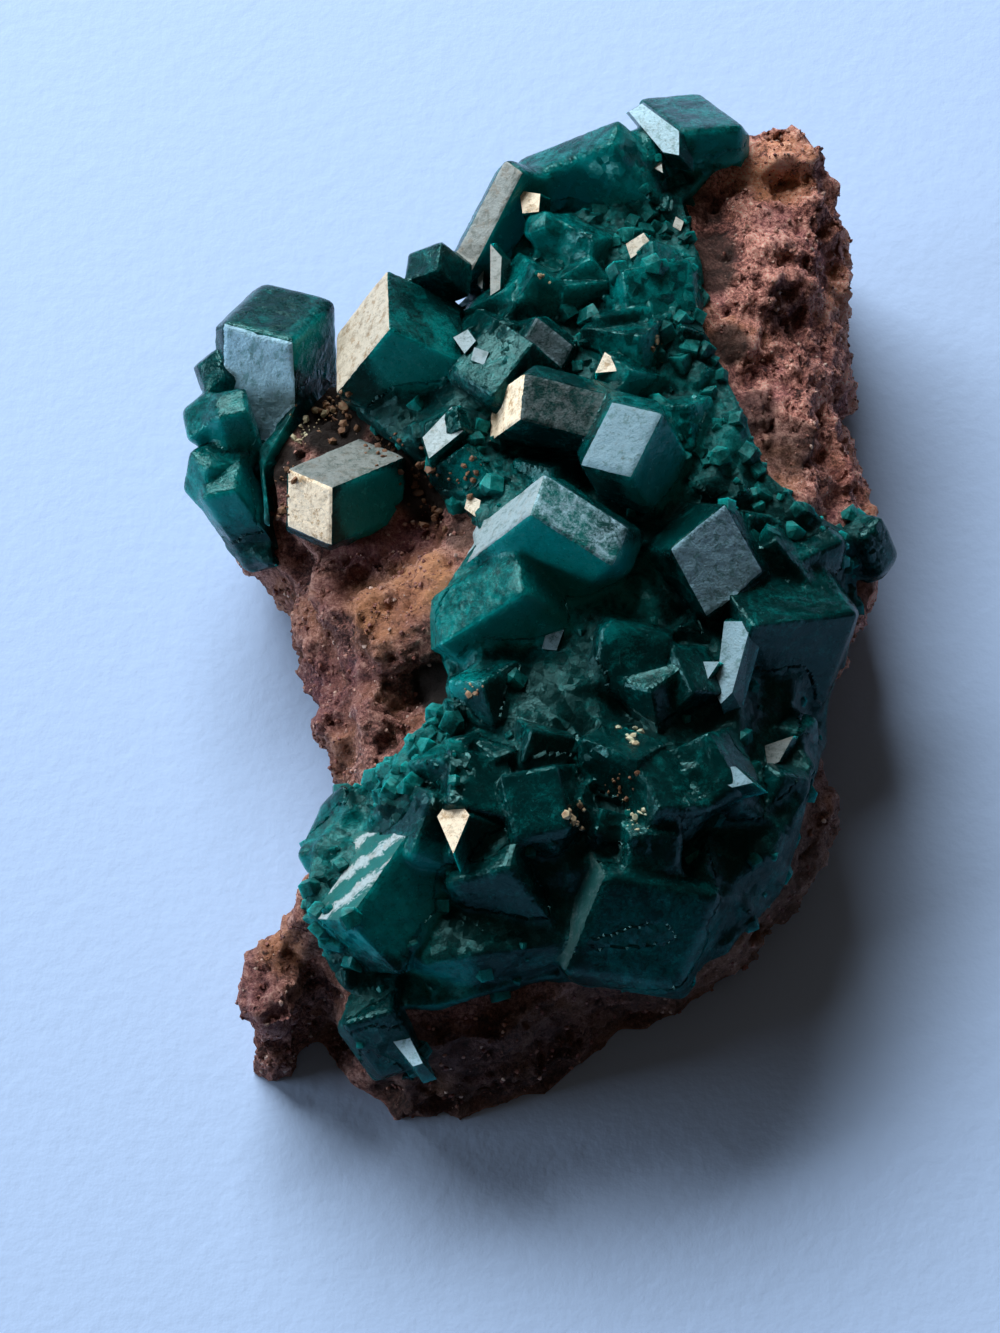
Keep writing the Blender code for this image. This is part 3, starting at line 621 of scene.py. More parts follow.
# %% The weather tree
def weather_tree():
    """Pits, lumps and grains on the rock, all along its own normals."""
    group, tree, given = geometry_tree(
        "weather", {"Lumps": 1.2 * MM, "Pits": 1.0 * MM, "Grains": 0.24 * MM})
    where = tree.node("GeometryNodeInputPosition")
    normal = tree.node("GeometryNodeInputNormal")
    height = tree.node("ShaderNodeSeparateXYZ", {}, {0: where}).out("Z")
    open_ground = tree.node(
        "GeometryNodeInputNamedAttribute", {"data_type": "FLOAT"}, {"Name": "open_ground"})
    lumps = tree.noise(where, 4.2 * MM, 6.0, 0.6, 0.3)
    holes = tree.noise(where, 1.9 * MM, 5.0, 0.65, 0.3).between(0.47, 0.33)
    crumbs = 1.0 - tree.cells(where, 0.8 * MM).between(0.05, 0.75)
    grains = tree.noise(where, 0.7 * MM, 3.0, 0.7)
    rise = ((lumps - 0.52) * given.out("Lumps") * 3.0 - holes * given.out("Pits") * 0.7
            + (crumbs - 0.7) * given.out("Grains") + (grains - 0.5) * given.out("Grains") * 1.6)
    rise = rise * height.between(0.1 * MM, 1.2 * MM) * open_ground
    # The rise is kept for the material, which paints shade into the low places.
    kept = tree.node(
        "GeometryNodeStoreNamedAttribute", {"data_type": "FLOAT", "domain": "POINT"},
        {"Geometry": given, "Name": "relief",
         "Value": 0.6 + rise / (2.4 * MM)})
    offset = tree.node(
        "ShaderNodeVectorMath", {"operation": "SCALE"}, {0: normal, "Scale": rise})
    moved = tree.node("GeometryNodeSetPosition", {}, {"Geometry": kept, "Offset": offset})
    finish_tree(tree, moved, matrix_stone)
    return group


weather = weather_tree()
print("tree", weather.name)

# %% Painted shade, rusty and purplish ground
# Each is across, up, radius and strength. Painted shade lies in the crevice round the block, in the
# hollow, beside the crystals and on the bottom ledge.
PAINTED_SHADE_SPOTS = [
    (-10.4, 15.4, 2.6, 0.9), (-6.6, 13.2, 1.8, 0.9), (-4.6, 11.0, 2.2, 0.8), (-13.6, 12.6, 1.6, 0.8),
    (-3.9, -1.2, 1.7, 1.0), (-2.4, 8.2, 1.2, 0.6), (18.0, 13.6, 2.2, 0.6), (13.2, 26.0, 1.6, 0.7),
    (-4.5, -25.5, 4.5, 0.6), (1.5, -24.5, 5.0, 0.55), (-9.5, -23.0, 2.5, 0.4), (8.0, -21.5, 4.5, 0.45),
    (17.5, -12.5, 4.0, 0.45), (22.6, 5.0, 1.6, 0.5), (13.2, 24.5, 1.6, 0.7), (14.2, 20.0, 1.5, 0.7),
    (16.0, 15.8, 1.6, 0.6), (17.6, 22.4, 1.7, 0.5), (12.8, 28.6, 1.3, 0.6),
]
RUSTY_SPOTS = [
    (-4.8, 5.2, 2.2, 1.0), (-7.6, 3.6, 2.0, 0.6), (17.6, 31.0, 2.2, 0.5), (-13.6, -17.5, 1.6, 0.6),
]
PURPLISH_SPOTS = [
    (-9.0, 7.6, 2.0, 0.9), (-5.8, 7.9, 1.6, 0.8), (-10.5, -1.5, 2.6, 0.6), (-14.5, -21.5, 2.0, 0.5),
]
GROUND_LAYERS = {"stained": PAINTED_SHADE_SPOTS, "rusty": RUSTY_SPOTS, "purplish": PURPLISH_SPOTS}


def seen_spots(mesh, spots):
    """Spots that lie only on ground turned toward the eye, so that they don't reach the far side."""
    facing = np.clip(mesh_normals(mesh) @ np.array(toward_eye) * 3.0 + 0.3, 0.0, 1.0)
    return spots_on(mesh_points(mesh), spots) * facing


print("ground layers", list(GROUND_LAYERS))

# %% The shape of the rock
ROCK_MESH_SIZE = 0.29 * MM
# Bare ground begins this far from a crystal, and is fully open a little further on.
GROUND_BEGINS = 0.45 * MM
GROUND_SOFTNESS = 1.0 * MM
CRYSTAL_REACH = 1.6 * MM


def open_ground_of(mesh):
    """1 on bare rock and 0 under the crystals, so that no pit opens beneath them."""
    nearest = [crystal_surface.find_nearest(vertex.co, CRYSTAL_REACH)[3] for vertex in mesh.vertices]
    distance = np.array([CRYSTAL_REACH if found is None else found for found in nearest])
    return np.clip((distance - GROUND_BEGINS) / GROUND_SOFTNESS, 0.0, 1.0)


def make_rock():
    """The plain rock, remeshed finely, marked with its ground layers and weathered."""
    solid = joined_copy("matrix_rock")
    mesh = bpy.data.meshes.new("matrix_rock_surface")
    solid.to_mesh(mesh)
    solid.free()
    rock = new_piece("matrix_rock_surface", mesh)
    remesh = rock.modifiers.new("fine_mesh", "REMESH")
    remesh.mode = "VOXEL"
    remesh.voxel_size = ROCK_MESH_SIZE
    settled(rock)
    store_on_points(rock.data, "open_ground", open_ground_of(rock.data))
    for layer, spots in GROUND_LAYERS.items():
        store_on_points(rock.data, layer, seen_spots(rock.data, spots))
    run_tree(rock, weather)
    rock.data.polygons.foreach_set("use_smooth", np.ones(len(rock.data.polygons), bool))
    return rock


rock = make_rock()
print("rock", len(rock.data.polygons), "faces")

# %% [markdown]
# ## Big crystals with worn edges
# A real crystal's faces are flat, but its edges are never knife-sharp and its faces carry low steps
# where growth stopped and began. Each plain solid is first reduced to its true flat faces, so that a
# ray from the eye can pick a face for the frosted film. It is then cut into small triangles. Averaging
# neighbouring points rounds the edges and leaves the flat faces flat.

# %% Frosted faces with a painted reflection, by where they are seen
FILM_LAYERS = ("film", "warmth", "tone", "banded")
# Each is across, up, film, warmth and lightness of the painted reflection, and banding.
FROSTED_FACES_WITH_PAINTED_REFLECTION = [
    (-12.1, 10.0, 1.0, 1.0, 1.0, 0.0), (-9.3, 12.3, 0.7, 0.5, 0.3, 0.0),
    (-0.2, 15.6, 0.95, 0.95, 0.9, 0.0), (3.7, 16.2, 0.5, 0.3, 0.3, 0.0),
    (-8.6, 21.0, 0.9, 0.85, 0.52, 0.0), (-15.2, 17.5, 0.95, 0.05, 1.0, 0.0),
    (7.4, 14.2, 0.85, 0.0, 0.36, 0.0), (0.3, 9.4, 0.8, 0.3, 0.45, 0.0),
    (4.8, 9.4, 0.45, 0.1, 0.9, 0.0), (13.3, 6.3, 0.75, 0.0, 0.75, 0.0),
    (-1.2, 28.0, 0.85, 0.5, 0.38, 0.0), (2.5, 20.5, 0.6, 0.15, 0.35, 0.0),
    (-8.8, -13.0, 0.9, 0.35, 0.5, 1.0), (5.0, -15.5, 0.35, 0.2, 0.2, 0.0),
]
print("frosted faces", len(FROSTED_FACES_WITH_PAINTED_REFLECTION))

# %% Worn crystals and painted glow
# Crystals whose corners are worn round, as across, up, radius and strength.
WORN_SPOTS = [
    (4.2, 4.6, 7.0, 1.0), (5.0, 32.0, 6.0, 0.9), (12.4, 33.9, 4.0, 0.8), (-13.0, 22.4, 4.0, 0.7),
    (8.7, -16.3, 6.0, 0.9), (-17.5, 13.5, 4.5, 0.35), (22.5, 7.5, 4.5, 0.7), (-1.0, -14.5, 5.0, 0.5),
    (15.0, -11.0, 5.5, 0.8), (18.0, -3.0, 5.0, 0.5), (-9.5, -10.5, 3.5, 0.8),
]
# Spots of painted glow: brighter teal that stands in for light coming through the crystal.
PAINTED_GLOW_SPOTS = [
    (-2.5, 3.6, 3.6, 0.9), (2.4, 8.4, 3.6, 1.0), (2.6, 3.6, 3.2, 1.0), (5.5, 31.0, 4.2, 0.8),
    (9.5, 24.5, 3.4, 0.8), (3.0, 27.0, 5.0, 0.7), (-7.6, 9.8, 2.4, 1.0), (-5.4, 19.8, 3.0, 0.8),
    (-7.0, -14.0, 4.0, 0.8), (-10.5, -11.5, 3.5, 0.8), (-5.0, -4.0, 2.2, 0.9), (-7.6, -6.5, 2.0, 1.0),
    (-2.7, -0.5, 1.6, 0.9), (-17.0, 13.0, 4.5, 0.7), (-12.5, -16.5, 2.5, 0.6), (12.5, 33.0, 4.0, 0.6),
    (14.0, 15.5, 3.5, 0.6), (-3.8, -19.5, 2.5, 0.4), (8.5, 18.0, 3.5, 0.6), (-0.6, 11.4, 2.4, 0.7),
    (10.2, 12.4, 2.8, 0.8), (7.0, 4.6, 3.2, 1.0), (9.0, -16.5, 4.0, 0.25), (-11.2, 20.0, 2.0, 0.9),
]
print("worn spots", len(WORN_SPOTS), "cloudy spots", len(PAINTED_GLOW_SPOTS))

# %% [markdown]
# A ray from the eye toward each listed place finds the face that the film lies on. The nearest crystal
# that the ray meets is the one that is seen.

# %% Lay the film on the chosen faces
SAME_PLANE = math.radians(1.5)


def flat_faces(node_name):
    """The solid with each crystal face as one polygon again."""
    solid = joined_copy(node_name)
    bmesh.ops.dissolve_limit(
        solid, angle_limit=SAME_PLANE, verts=solid.verts[:], edges=solid.edges[:])
    return solid


def lay_film_and_painted_reflection(solids_by_name):
    """Store the film and its painted reflection on the faces that the eye sees in the listed places."""
    trees = {}
    for name, solid in solids_by_name.items():
        for layer in FILM_LAYERS:
            solid.faces.layers.float.new(layer)
        solid.faces.ensure_lookup_table()
        trees[name] = BVHTree.FromBMesh(solid)
    for across, up, *look in FROSTED_FACES_WITH_PAINTED_REFLECTION:
        hits = []
        for name, tree in trees.items():
            point, _, face, distance = tree.ray_cast(eye, sight(across, up))
            if point is not None:
                hits.append((distance, name, face))
        if not hits:
            print("no face at", across, up)
            continue
        _, name, face = min(hits)
        solid = solids_by_name[name]
        hit = solid.faces[face]
        for layer, value in zip(FILM_LAYERS, look):
            hit[solid.faces.layers.float[layer]] = value
        hit.material_index = 1
        print("frost_and_painted_reflection", across, up, name, round(hit.calc_area() * 1e6, 1), "mm2")


crystal_solids = {name: flat_faces(name) for name in CRYSTAL_NODES}
lay_film_and_painted_reflection(crystal_solids)

# %% [markdown]
# Rounding needs short edges, because averaging moves a point by about the length of its edges. The
# underside of the crust is never seen, so it stays coarse, which saves half of the triangles.

# %% Short edges where they are seen
LONGEST_EDGE = 0.36 * MM
ROCK_REACH = 0.48 * MM
MOST_HALVINGS = 7


def under_crust(point):
    """True where a point is so near the rock that it belongs to the hidden underside."""
    return rock_surface.find_nearest(point, ROCK_REACH)[0] is not None


def split_long_edges(solid, longest):
    """Halve long edges until all are short, but leave the hidden underside coarse."""
    for _ in range(MOST_HALVINGS):
        long_edges = [
            edge for edge in solid.edges
            if edge.calc_length() > longest
            and not under_crust((edge.verts[0].co + edge.verts[1].co) / 2.0)]
        if not long_edges:
            break
        bmesh.ops.subdivide_edges(solid, edges=long_edges, cuts=1)
        wide = [face for face in solid.faces if len(face.verts) > 3]
        bmesh.ops.triangulate(solid, faces=wide)


print("longest edge", round(LONGEST_EDGE / MM, 2), "mm")

# %% [markdown]
# Two rounds of averaging take the knife-edge off every crystal. More rounds follow only where a crystal
# is worn. The underside is then pressed a little into the rock, so that no gap shows at its foot.

# %% Rounded edges and a rooted underside
ROOTED = 0.35 * MM


def painted_glow_of(mesh):
    """Painted glow: strongest on faces turned away from the window, where light would come out."""
    turned_away = np.clip(0.55 - mesh_normals(mesh) @ np.array(TOWARD_WINDOW), 0.0, 1.0)
    return np.minimum(spots_on(mesh_points(mesh), PAINTED_GLOW_SPOTS) * (0.3 + 1.1 * turned_away), 1.0)


def wear_and_root(mesh, rounds):
    """Round the edges, most where the crystal is worn, and sink the underside into the rock."""
    points = mesh_points(mesh)
    ends = np.empty(len(mesh.edges) * 2, int)
    mesh.edges.foreach_get("vertices", ends)
    first, second = ends.reshape(-1, 2).T
    neighbours = np.bincount(ends, minlength=len(points))[:, None]
    under = np.array([under_crust(Vector(point)) for point in points])
    worn = spots_on(points, WORN_SPOTS) * ~under
    for step in range(rounds):
        total = np.zeros_like(points)
        np.add.at(total, first, points[second])
        np.add.at(total, second, points[first])
        share = 0.5 * ~under if step < 2 else 0.5 * worn
        points += (total / neighbours - points) * share[:, None]
    for index in np.flatnonzero(under):
        spot, normal, _, _ = rock_surface.find_nearest(Vector(points[index]))
        points[index] = spot - normal * ROOTED
    mesh.vertices.foreach_set("co", points.ravel())
    mesh.update()
    store_on_points(mesh, "cloud", painted_glow_of(mesh))


print("edges can be rounded")

# %% [markdown]
# A last geometry tree lays growth on the faces: low steps that follow a slow drift in space, and soft
# waves. It paints only the faces without a film, because the film is already on its faces.

# %% Growth steps, and every crystal made
GROWTH_STEPS = 9.0


def growth_tree(material):
    """Low growth steps and hollows on crystal faces."""
    group, tree, given = geometry_tree("growth", {"Steps": 0.006 * MM, "Waves": 0.07 * MM})
    where = tree.node("GeometryNodeInputPosition")
    normal = tree.node("GeometryNodeInputNormal")
    drift = tree.noise(where, 3.2 * MM, 2.0, 0.5, 0.3)
    steps = (drift * GROWTH_STEPS).stepped() / GROWTH_STEPS
    waves = tree.noise(where, 1.1 * MM, 3.0, 0.6) - 0.5
    rise = (steps - 0.5) * given.out("Steps") * 5.0 + waves * given.out("Waves") * 2.0
    offset = tree.node(
        "ShaderNodeVectorMath", {"operation": "SCALE"}, {0: normal, "Scale": rise})
    moved = tree.node("GeometryNodeSetPosition", {}, {"Geometry": given, "Offset": offset})
    index = tree.node("GeometryNodeInputMaterialIndex")
    bare = index.maths("LESS_THAN", index, 0.5)
    finish_tree(tree, moved, material, bare)
    return group


# The longest edge and the rounds of averaging. The stray crystal is tiny, so it gets its own.
FINENESS = {"stray_crystal": (0.12 * MM, 1)}
USUAL_FINENESS = (LONGEST_EDGE, 14)
growth = growth_tree(dioptase)
crystals = {}
for name, solid in crystal_solids.items():
    longest, rounds = FINENESS.get(name, USUAL_FINENESS)
    split_long_edges(solid, longest)
    mesh = bpy.data.meshes.new(name + "_surface")
    solid.to_mesh(mesh)
    solid.free()
    wear_and_root(mesh, rounds)
    mesh.materials.append(dioptase)
    mesh.materials.append(frost_and_painted_reflection)
    crystals[name] = run_tree(new_piece(name + "_surface", mesh), growth)
    print(name, len(crystals[name].data.polygons), "faces")

# %% [markdown]
# ## Small crystals between the big ones
# Between the big crystals the crust is covered with a druse of crystals about a millimetre in size.
# They repeat one shape by the hundred, so Geometry Nodes scatter them. The one small crystal is the
# hull of a six-sided prism whose corners are cut at two heights, which gives the three-faced tip.

# %% One small crystal
TIP_RISE = math.tan(math.radians(51.0))


def small_crystal(name, slenderness):
    """A prism one unit across with a three-faced tip, standing on the origin."""
    shape = bmesh.new()
    for corner in range(6):
        angle = math.radians(60.0 * corner)
        x, y = 0.5 * math.cos(angle), 0.5 * math.sin(angle)
        drop = 0.5 * TIP_RISE * (0.5 if corner % 2 == 0 else 1.0)
        shape.verts.new((x, y, slenderness - drop))
        shape.verts.new((x, y, -0.4))
    shape.verts.new((0.0, 0.0, slenderness))
    bmesh.ops.convex_hull(shape, input=shape.verts[:])
    mesh = bpy.data.meshes.new(name)
    shape.to_mesh(mesh)
    shape.free()
    pattern = bpy.data.objects.new(name, mesh)
    bpy.context.scene.collection.objects.link(pattern)
    return pattern


little_crystal = small_crystal("little_crystal", 0.45)
print("little crystal", len(little_crystal.data.polygons), "faces")

# %% [markdown]
# The same scatter serves the small crystals and the loose sand. Points are strewn on a surface, a copy
# of the pattern stands on each, and every copy gets its own size, turn and brightness.

# %% The scatter tree
def scatter_tree(name, pattern, material, lean):
    """Copies of a pattern over a surface, as dense as its attribute `density` says."""
    group, tree, given = geometry_tree(
        name, {"Per square metre": 1e6, "Smallest": 0.4 * MM, "Largest": 1.0 * MM,
               "Brightness": 0.6, "Seed": 1})
    density = tree.node(
        "GeometryNodeInputNamedAttribute", {"data_type": "FLOAT"}, {"Name": "density"})
    points = tree.node(
        "GeometryNodeDistributePointsOnFaces", {"distribute_method": "RANDOM"},
        {"Mesh": given, "Density": density * given.out("Per square metre"),
         "Seed": given.out("Seed")})
    shape = tree.node(
        "GeometryNodeObjectInfo", {"transform_space": "ORIGINAL"}, {"Object": pattern}, "Geometry")
    size = tree.node(
        "FunctionNodeRandomValue", {"data_type": "FLOAT"},
        {"Min_001": 0.0, "Max_001": 1.0, "Seed": 11}, "Value_001").power(1.8)
    size = given.out("Smallest") + size * (given.out("Largest") - given.out("Smallest"))
    placed = tree.node(
        "GeometryNodeInstanceOnPoints", {},
        {"Points": points, "Instance": shape, "Rotation": points.out("Rotation"), "Scale": size})
    turn = tree.node(
        "FunctionNodeRandomValue", {"data_type": "FLOAT_VECTOR"},
        {"Min": (-lean, -lean, 0.0), "Max": (lean, lean, 6.28), "Seed": 12}, "Value")
    turned = tree.node(
        "GeometryNodeRotateInstances", {}, {"Instances": placed, "Rotation": turn})
    chance = tree.node(
        "FunctionNodeRandomValue", {"data_type": "FLOAT"},
        {"Min_001": 0.0, "Max_001": 1.0, "Seed": 13}, "Value_001")
    marked = tree.node(
        "GeometryNodeStoreNamedAttribute", {"data_type": "FLOAT", "domain": "INSTANCE"},
        {"Geometry": turned, "Name": "cloud", "Value": chance * given.out("Brightness")})
    finish_tree(tree, marked, material)
    return group


print("scatter ready")

# %% [markdown]
# The druse stands mostly where the crust is thin, near the rock, and in a few patches between the big
# crystals. The same share also tells the green material where to add its mosaic of facets.

# %% The druse
def surface_copy(name, piece, density):
    """A copy of a finished surface that carries how densely it is covered."""
    copy = new_piece(name, piece.data.copy())
    store_on_points(copy.data, "density", density)
    return copy


def thin_crust(points, low, high):
    """1 where a crystal surface is this near the rock, and 0 elsewhere."""
    distance = []
    for point in points:
        found = rock_surface.find_nearest(Vector(point), high)[3]
        distance.append(high if found is None else found)
    distance = np.array(distance)
    return ((distance > low) & (distance < high)).astype(float)


DRUSE_SPOTS = [
    (9.5, 27.5, 4.5, 0.9), (12.0, 19.5, 4.0, 0.9), (14.5, 13.5, 3.2, 1.0), (3.0, 20.5, 3.0, 0.5),
    (-5.5, -5.5, 3.4, 1.0), (-11.2, -15.8, 2.2, 0.9), (-17.5, 15.5, 3.0, 0.35),
    (17.5, 10.5, 4.0, 0.6), (8.5, -7.5, 3.5, 0.5), (-2.0, 13.0, 2.5, 0.9), (20.5, 8.0, 3.0, 0.4),
]


def druse_share(mesh):
    """How much of the surface is druse: most of it where the crust is thin."""
    points = mesh_points(mesh)
    thin = thin_crust(points, 0.25 * MM, 1.5 * MM)
    return np.clip(thin * 0.6 + spots_on(points, DRUSE_SPOTS) * (0.2 + thin * 0.8), 0.0, 1.0)


crust = crystals["main_crystal_crust"]
for name in ("main_crystal_crust", "left_crystal_cluster"):
    store_on_points(crystals[name].data, "druse", druse_share(crystals[name].data))
crust_points = mesh_points(crust.data)
druse_density = druse_share(crust.data) * (0.12 + spots_on(crust_points, DRUSE_SPOTS) * 0.9)
druse = run_tree(
    surface_copy("druse", crust, druse_density),
    scatter_tree("druse_scatter", little_crystal, druse_green, 0.6),
    {"Per square metre": 1.2e6, "Smallest": 0.35 * MM, "Largest": 1.7 * MM,
     "Brightness": 0.45, "Seed": 4})
print("druse", len(druse.data.polygons), "faces")

# %% [markdown]
# ## Sand grains on the rock
# The matrix is made of sand, so its surface is a layer of grains. The relief of the rock gives the
# large ones, and loose small grains are scattered over bare rock to break up its outline.

# %% Loose grains
def sand_grain(name):
    shape = bmesh.new()
    bmesh.ops.create_icosphere(shape, subdivisions=1, radius=0.5)
    for vertex in shape.verts:
        vertex.co *= 0.75 + 0.5 * noise.noise(vertex.co * 3.0)
    mesh = bpy.data.meshes.new(name)
    shape.to_mesh(mesh)
    shape.free()
    grain = bpy.data.objects.new(name, mesh)
    bpy.context.scene.collection.objects.link(grain)
    return grain


def make_grain_material():
    """Each grain takes its own place between dark red-brown and pale, by its random number."""
    material, tree = new_material("sand_grain")
    where = object_place(tree)
    chance = stored(tree, "cloud")
    base = tree.node("ShaderNodeValToRGB", {"stops": [
        (0.0, (0.10, 0.034, 0.03)), (0.45, (0.26, 0.10, 0.08)), (0.8, (0.42, 0.24, 0.19)),
        (1.0, (0.62, 0.50, 0.44))]}, {"Fac": chance})
    base = tree.blend(tree.noise(where, 0.3 * MM) * 0.5, base, colour(0.13, 0.05, 0.045))
    shader = tree.node("ShaderNodeBsdfPrincipled", {}, {
        "Base Color": base, "Roughness": 0.45 + 0.4 * tree.noise(where, 0.5 * MM)})
    finish_material(tree, shader)
    return material


grain = sand_grain("grain")
rock_points = mesh_points(rock.data)
bare = np.clip(open_ground_of(rock.data) * 2.0, 0.0, 1.0) * (rock_points[:, 2] > 0.4 * MM)
# Fewer loose grains lie in the painted shade.
bare = bare * (1.0 - 0.9 * spots_on(rock_points, PAINTED_SHADE_SPOTS))
grains = run_tree(
    surface_copy("sand_grains", rock, bare),
    scatter_tree("grain_scatter", grain, make_grain_material(), 3.0),
    {"Per square metre": 2.0e6, "Smallest": 0.12 * MM, "Largest": 0.5 * MM,
     "Brightness": 1.0, "Seed": 5})
print("grains", len(grains.data.polygons), "faces")
for pattern in (little_crystal, grain):
    bpy.data.objects.remove(pattern)

# %% [markdown]
# ## Bright facets, with a painted highlight
# Here and there one small crystal face catches the window, and that shine is painted into its colour:
# white, cream or lavender. They draw the eye, so each is listed one by one: its corners are given as
# they are seen, and the facet is the front of a small crystal that is sunk in the crust behind it.

# %% Where the painted highlights are
# Each is its seen corners, then film, warmth and lightness of the painted highlight.
PAINTED_HIGHLIGHT_FACETS = [
    ([(-2.9, -7.9), (-1.9, -9.2), (-2.9, -11.6), (-3.9, -9.3)], (1.0, 0.9, 0.8)),
    ([(8.0, 34.4), (8.8, 34.9), (11.1, 33.2), (11.1, 31.7), (10.1, 31.9)], (0.8, 0.15, 0.9)),
    ([(1.2, 29.5), (2.5, 29.3), (2.4, 28.2), (1.4, 28.1)], (1.0, 0.9, 1.0)),
    ([(7.8, 26.2), (8.9, 26.9), (9.4, 26.2), (8.1, 25.3)], (0.9, 0.75, 0.8)),
    ([(6.5, 19.5), (8.1, 18.4), (5.9, 18.2)], (1.0, 0.8, 1.0)),
    ([(-4.8, 14.2), (-3.0, 16.1), (-2.3, 14.6), (-4.4, 12.9)], (0.9, 0.35, 0.7)),
    ([(-2.9, 20.4), (-2.2, 19.4), (-1.5, 20.2), (-2.0, 20.9)], (0.9, 0.25, 0.6)),
    ([(-1.6, 19.8), (-0.7, 19.5), (-1.0, 18.7), (-1.8, 19.0)], (0.8, 0.25, 0.55)),
    ([(-0.6, 26.2), (0.1, 25.4), (0.0, 23.4), (-0.6, 23.0)], (0.8, 0.5, 0.5)),
    ([(-1.3, 25.0), (-1.0, 24.6), (-1.1, 23.4), (-1.4, 23.7)], (0.8, 0.4, 0.45)),
    ([(13.9, 2.8), (15.6, 2.8), (14.4, -1.6), (13.7, -2.3), (12.6, -0.4), (13.6, 0.3)],
     (0.9, 0.05, 0.55)),
    ([(12.4, 0.3), (13.6, 0.3), (12.8, -0.9)], (0.8, 0.05, 0.5)),
    ([(13.4, -6.3), (14.6, -6.2), (15.7, -7.2), (14.4, -7.5), (13.5, -7.0)], (0.7, 0.0, 0.4)),
    ([(16.4, -4.9), (18.2, -4.3), (17.3, -5.9), (16.6, -6.2)], (0.7, 0.4, 0.3)),
    ([(-7.0, -21.4), (-6.1, -22.0), (-4.8, -24.6), (-5.4, -24.8), (-6.6, -23.3)], (0.9, 0.1, 0.7)),
    ([(-2.0, 10.7), (-1.2, 10.3), (-1.4, 9.2), (-2.2, 9.8)], (0.9, 0.8, 0.9)),
    ([(2.8, 1.9), (4.0, 2.4), (3.5, 1.0), (2.6, 1.1)], (0.6, 0.1, 0.6)),
    ([(10.9, 27.9), (11.4, 27.6), (11.2, 27.0), (10.7, 27.3)], (0.9, 0.6, 0.7)),
    ([(9.4, 31.0), (10.0, 31.3), (10.1, 30.6)], (1.0, 0.5, 0.9)),
]
print("bright facets", len(PAINTED_HIGHLIGHT_FACETS))

# %% Small crystals with a painted highlight on the front
FACET_DEPTH = 1.3 * MM
FACET_RISE = 0.1 * MM
# How fast a facet recedes to the right and upward, so that it leans toward the window.
WINDOW_LEAN = (-0.3, 0.42)
# The body of each little crystal is wider than its facet, and shows on the side away from the window.
BODY_GROWTH = 1.35
BODY_SHIFT = (0.45, -0.5)
every_surface = surface_of(*solids)


def facet_distance(corners):
    """How far the crust is under a facet: among its middle and corners, one of the nearer ones."""
    middle = tuple(sum(values) / len(corners) for values in zip(*corners))
    found = [every_surface.ray_cast(eye, sight(*corner))[3] for corner in [middle, *corners]]
    found = sorted(distance for distance in found if distance is not None)
    return found[len(found) // 3]


def painted_highlight_facet(mesh, corners, look, draw):
    """A small prism whose front is the painted highlight, a little tilted, and whose back is in the
    crust.
    """
    distance = facet_distance(corners) - FACET_RISE
    tilt = (WINDOW_LEAN[0] + draw.uniform(-0.1, 0.1), WINDOW_LEAN[1] + draw.uniform(-0.1, 0.1))
    middle = [sum(values) / len(corners) for values in zip(*corners)]
    front, back = [], []
    for across, up in corners:
        lean = ((across - middle[0]) * tilt[0] + (up - middle[1]) * tilt[1]) * MM
        front.append(mesh.verts.new(eye + sight(across, up) * (distance + lean)))
        behind = sight(middle[0] + (across - middle[0]) * BODY_GROWTH + BODY_SHIFT[0],
                       middle[1] + (up - middle[1]) * BODY_GROWTH + BODY_SHIFT[1])
        back.append(mesh.verts.new(eye + behind * (distance + lean + FACET_DEPTH)))
    faces = [mesh.faces.new(front), mesh.faces.new(back[::-1])]
    for index, corner in enumerate(front):
        following = (index + 1) % len(front)
        faces.append(mesh.faces.new((corner, back[index], back[following], front[following])))
    # The front takes the film material, where the painted highlight is its pale colour.
    faces[0].material_index = 1
    for layer, value in zip(FILM_LAYERS, (*look, 0.0)):
        faces[0][mesh.faces.layers.float[layer]] = value


def make_painted_highlight_facets():
    draw = random.Random(8)
    shape = bmesh.new()
    for layer in FILM_LAYERS:
        shape.faces.layers.float.new(layer)
    for corners, look in PAINTED_HIGHLIGHT_FACETS:
        painted_highlight_facet(shape, corners, look, draw)
    bmesh.ops.recalc_face_normals(shape, faces=shape.faces[:])
    mesh = bpy.data.meshes.new("bright_facets")
    shape.to_mesh(mesh)
    shape.free()
    mesh.materials.append(druse_green)
    mesh.materials.append(frost_and_painted_reflection)
    return new_piece("bright_facets", mesh)


facets = make_painted_highlight_facets()
print("bright facets", len(facets.data.polygons), "faces")

# %% [markdown]
# ## Crumbs of matrix
# Crumbs of pale and rusty matrix are caught between the crystals. They lie in small groups. Each group
# is a handful of stretched, bumpy grains that fall where a ray from the eye meets the surface.

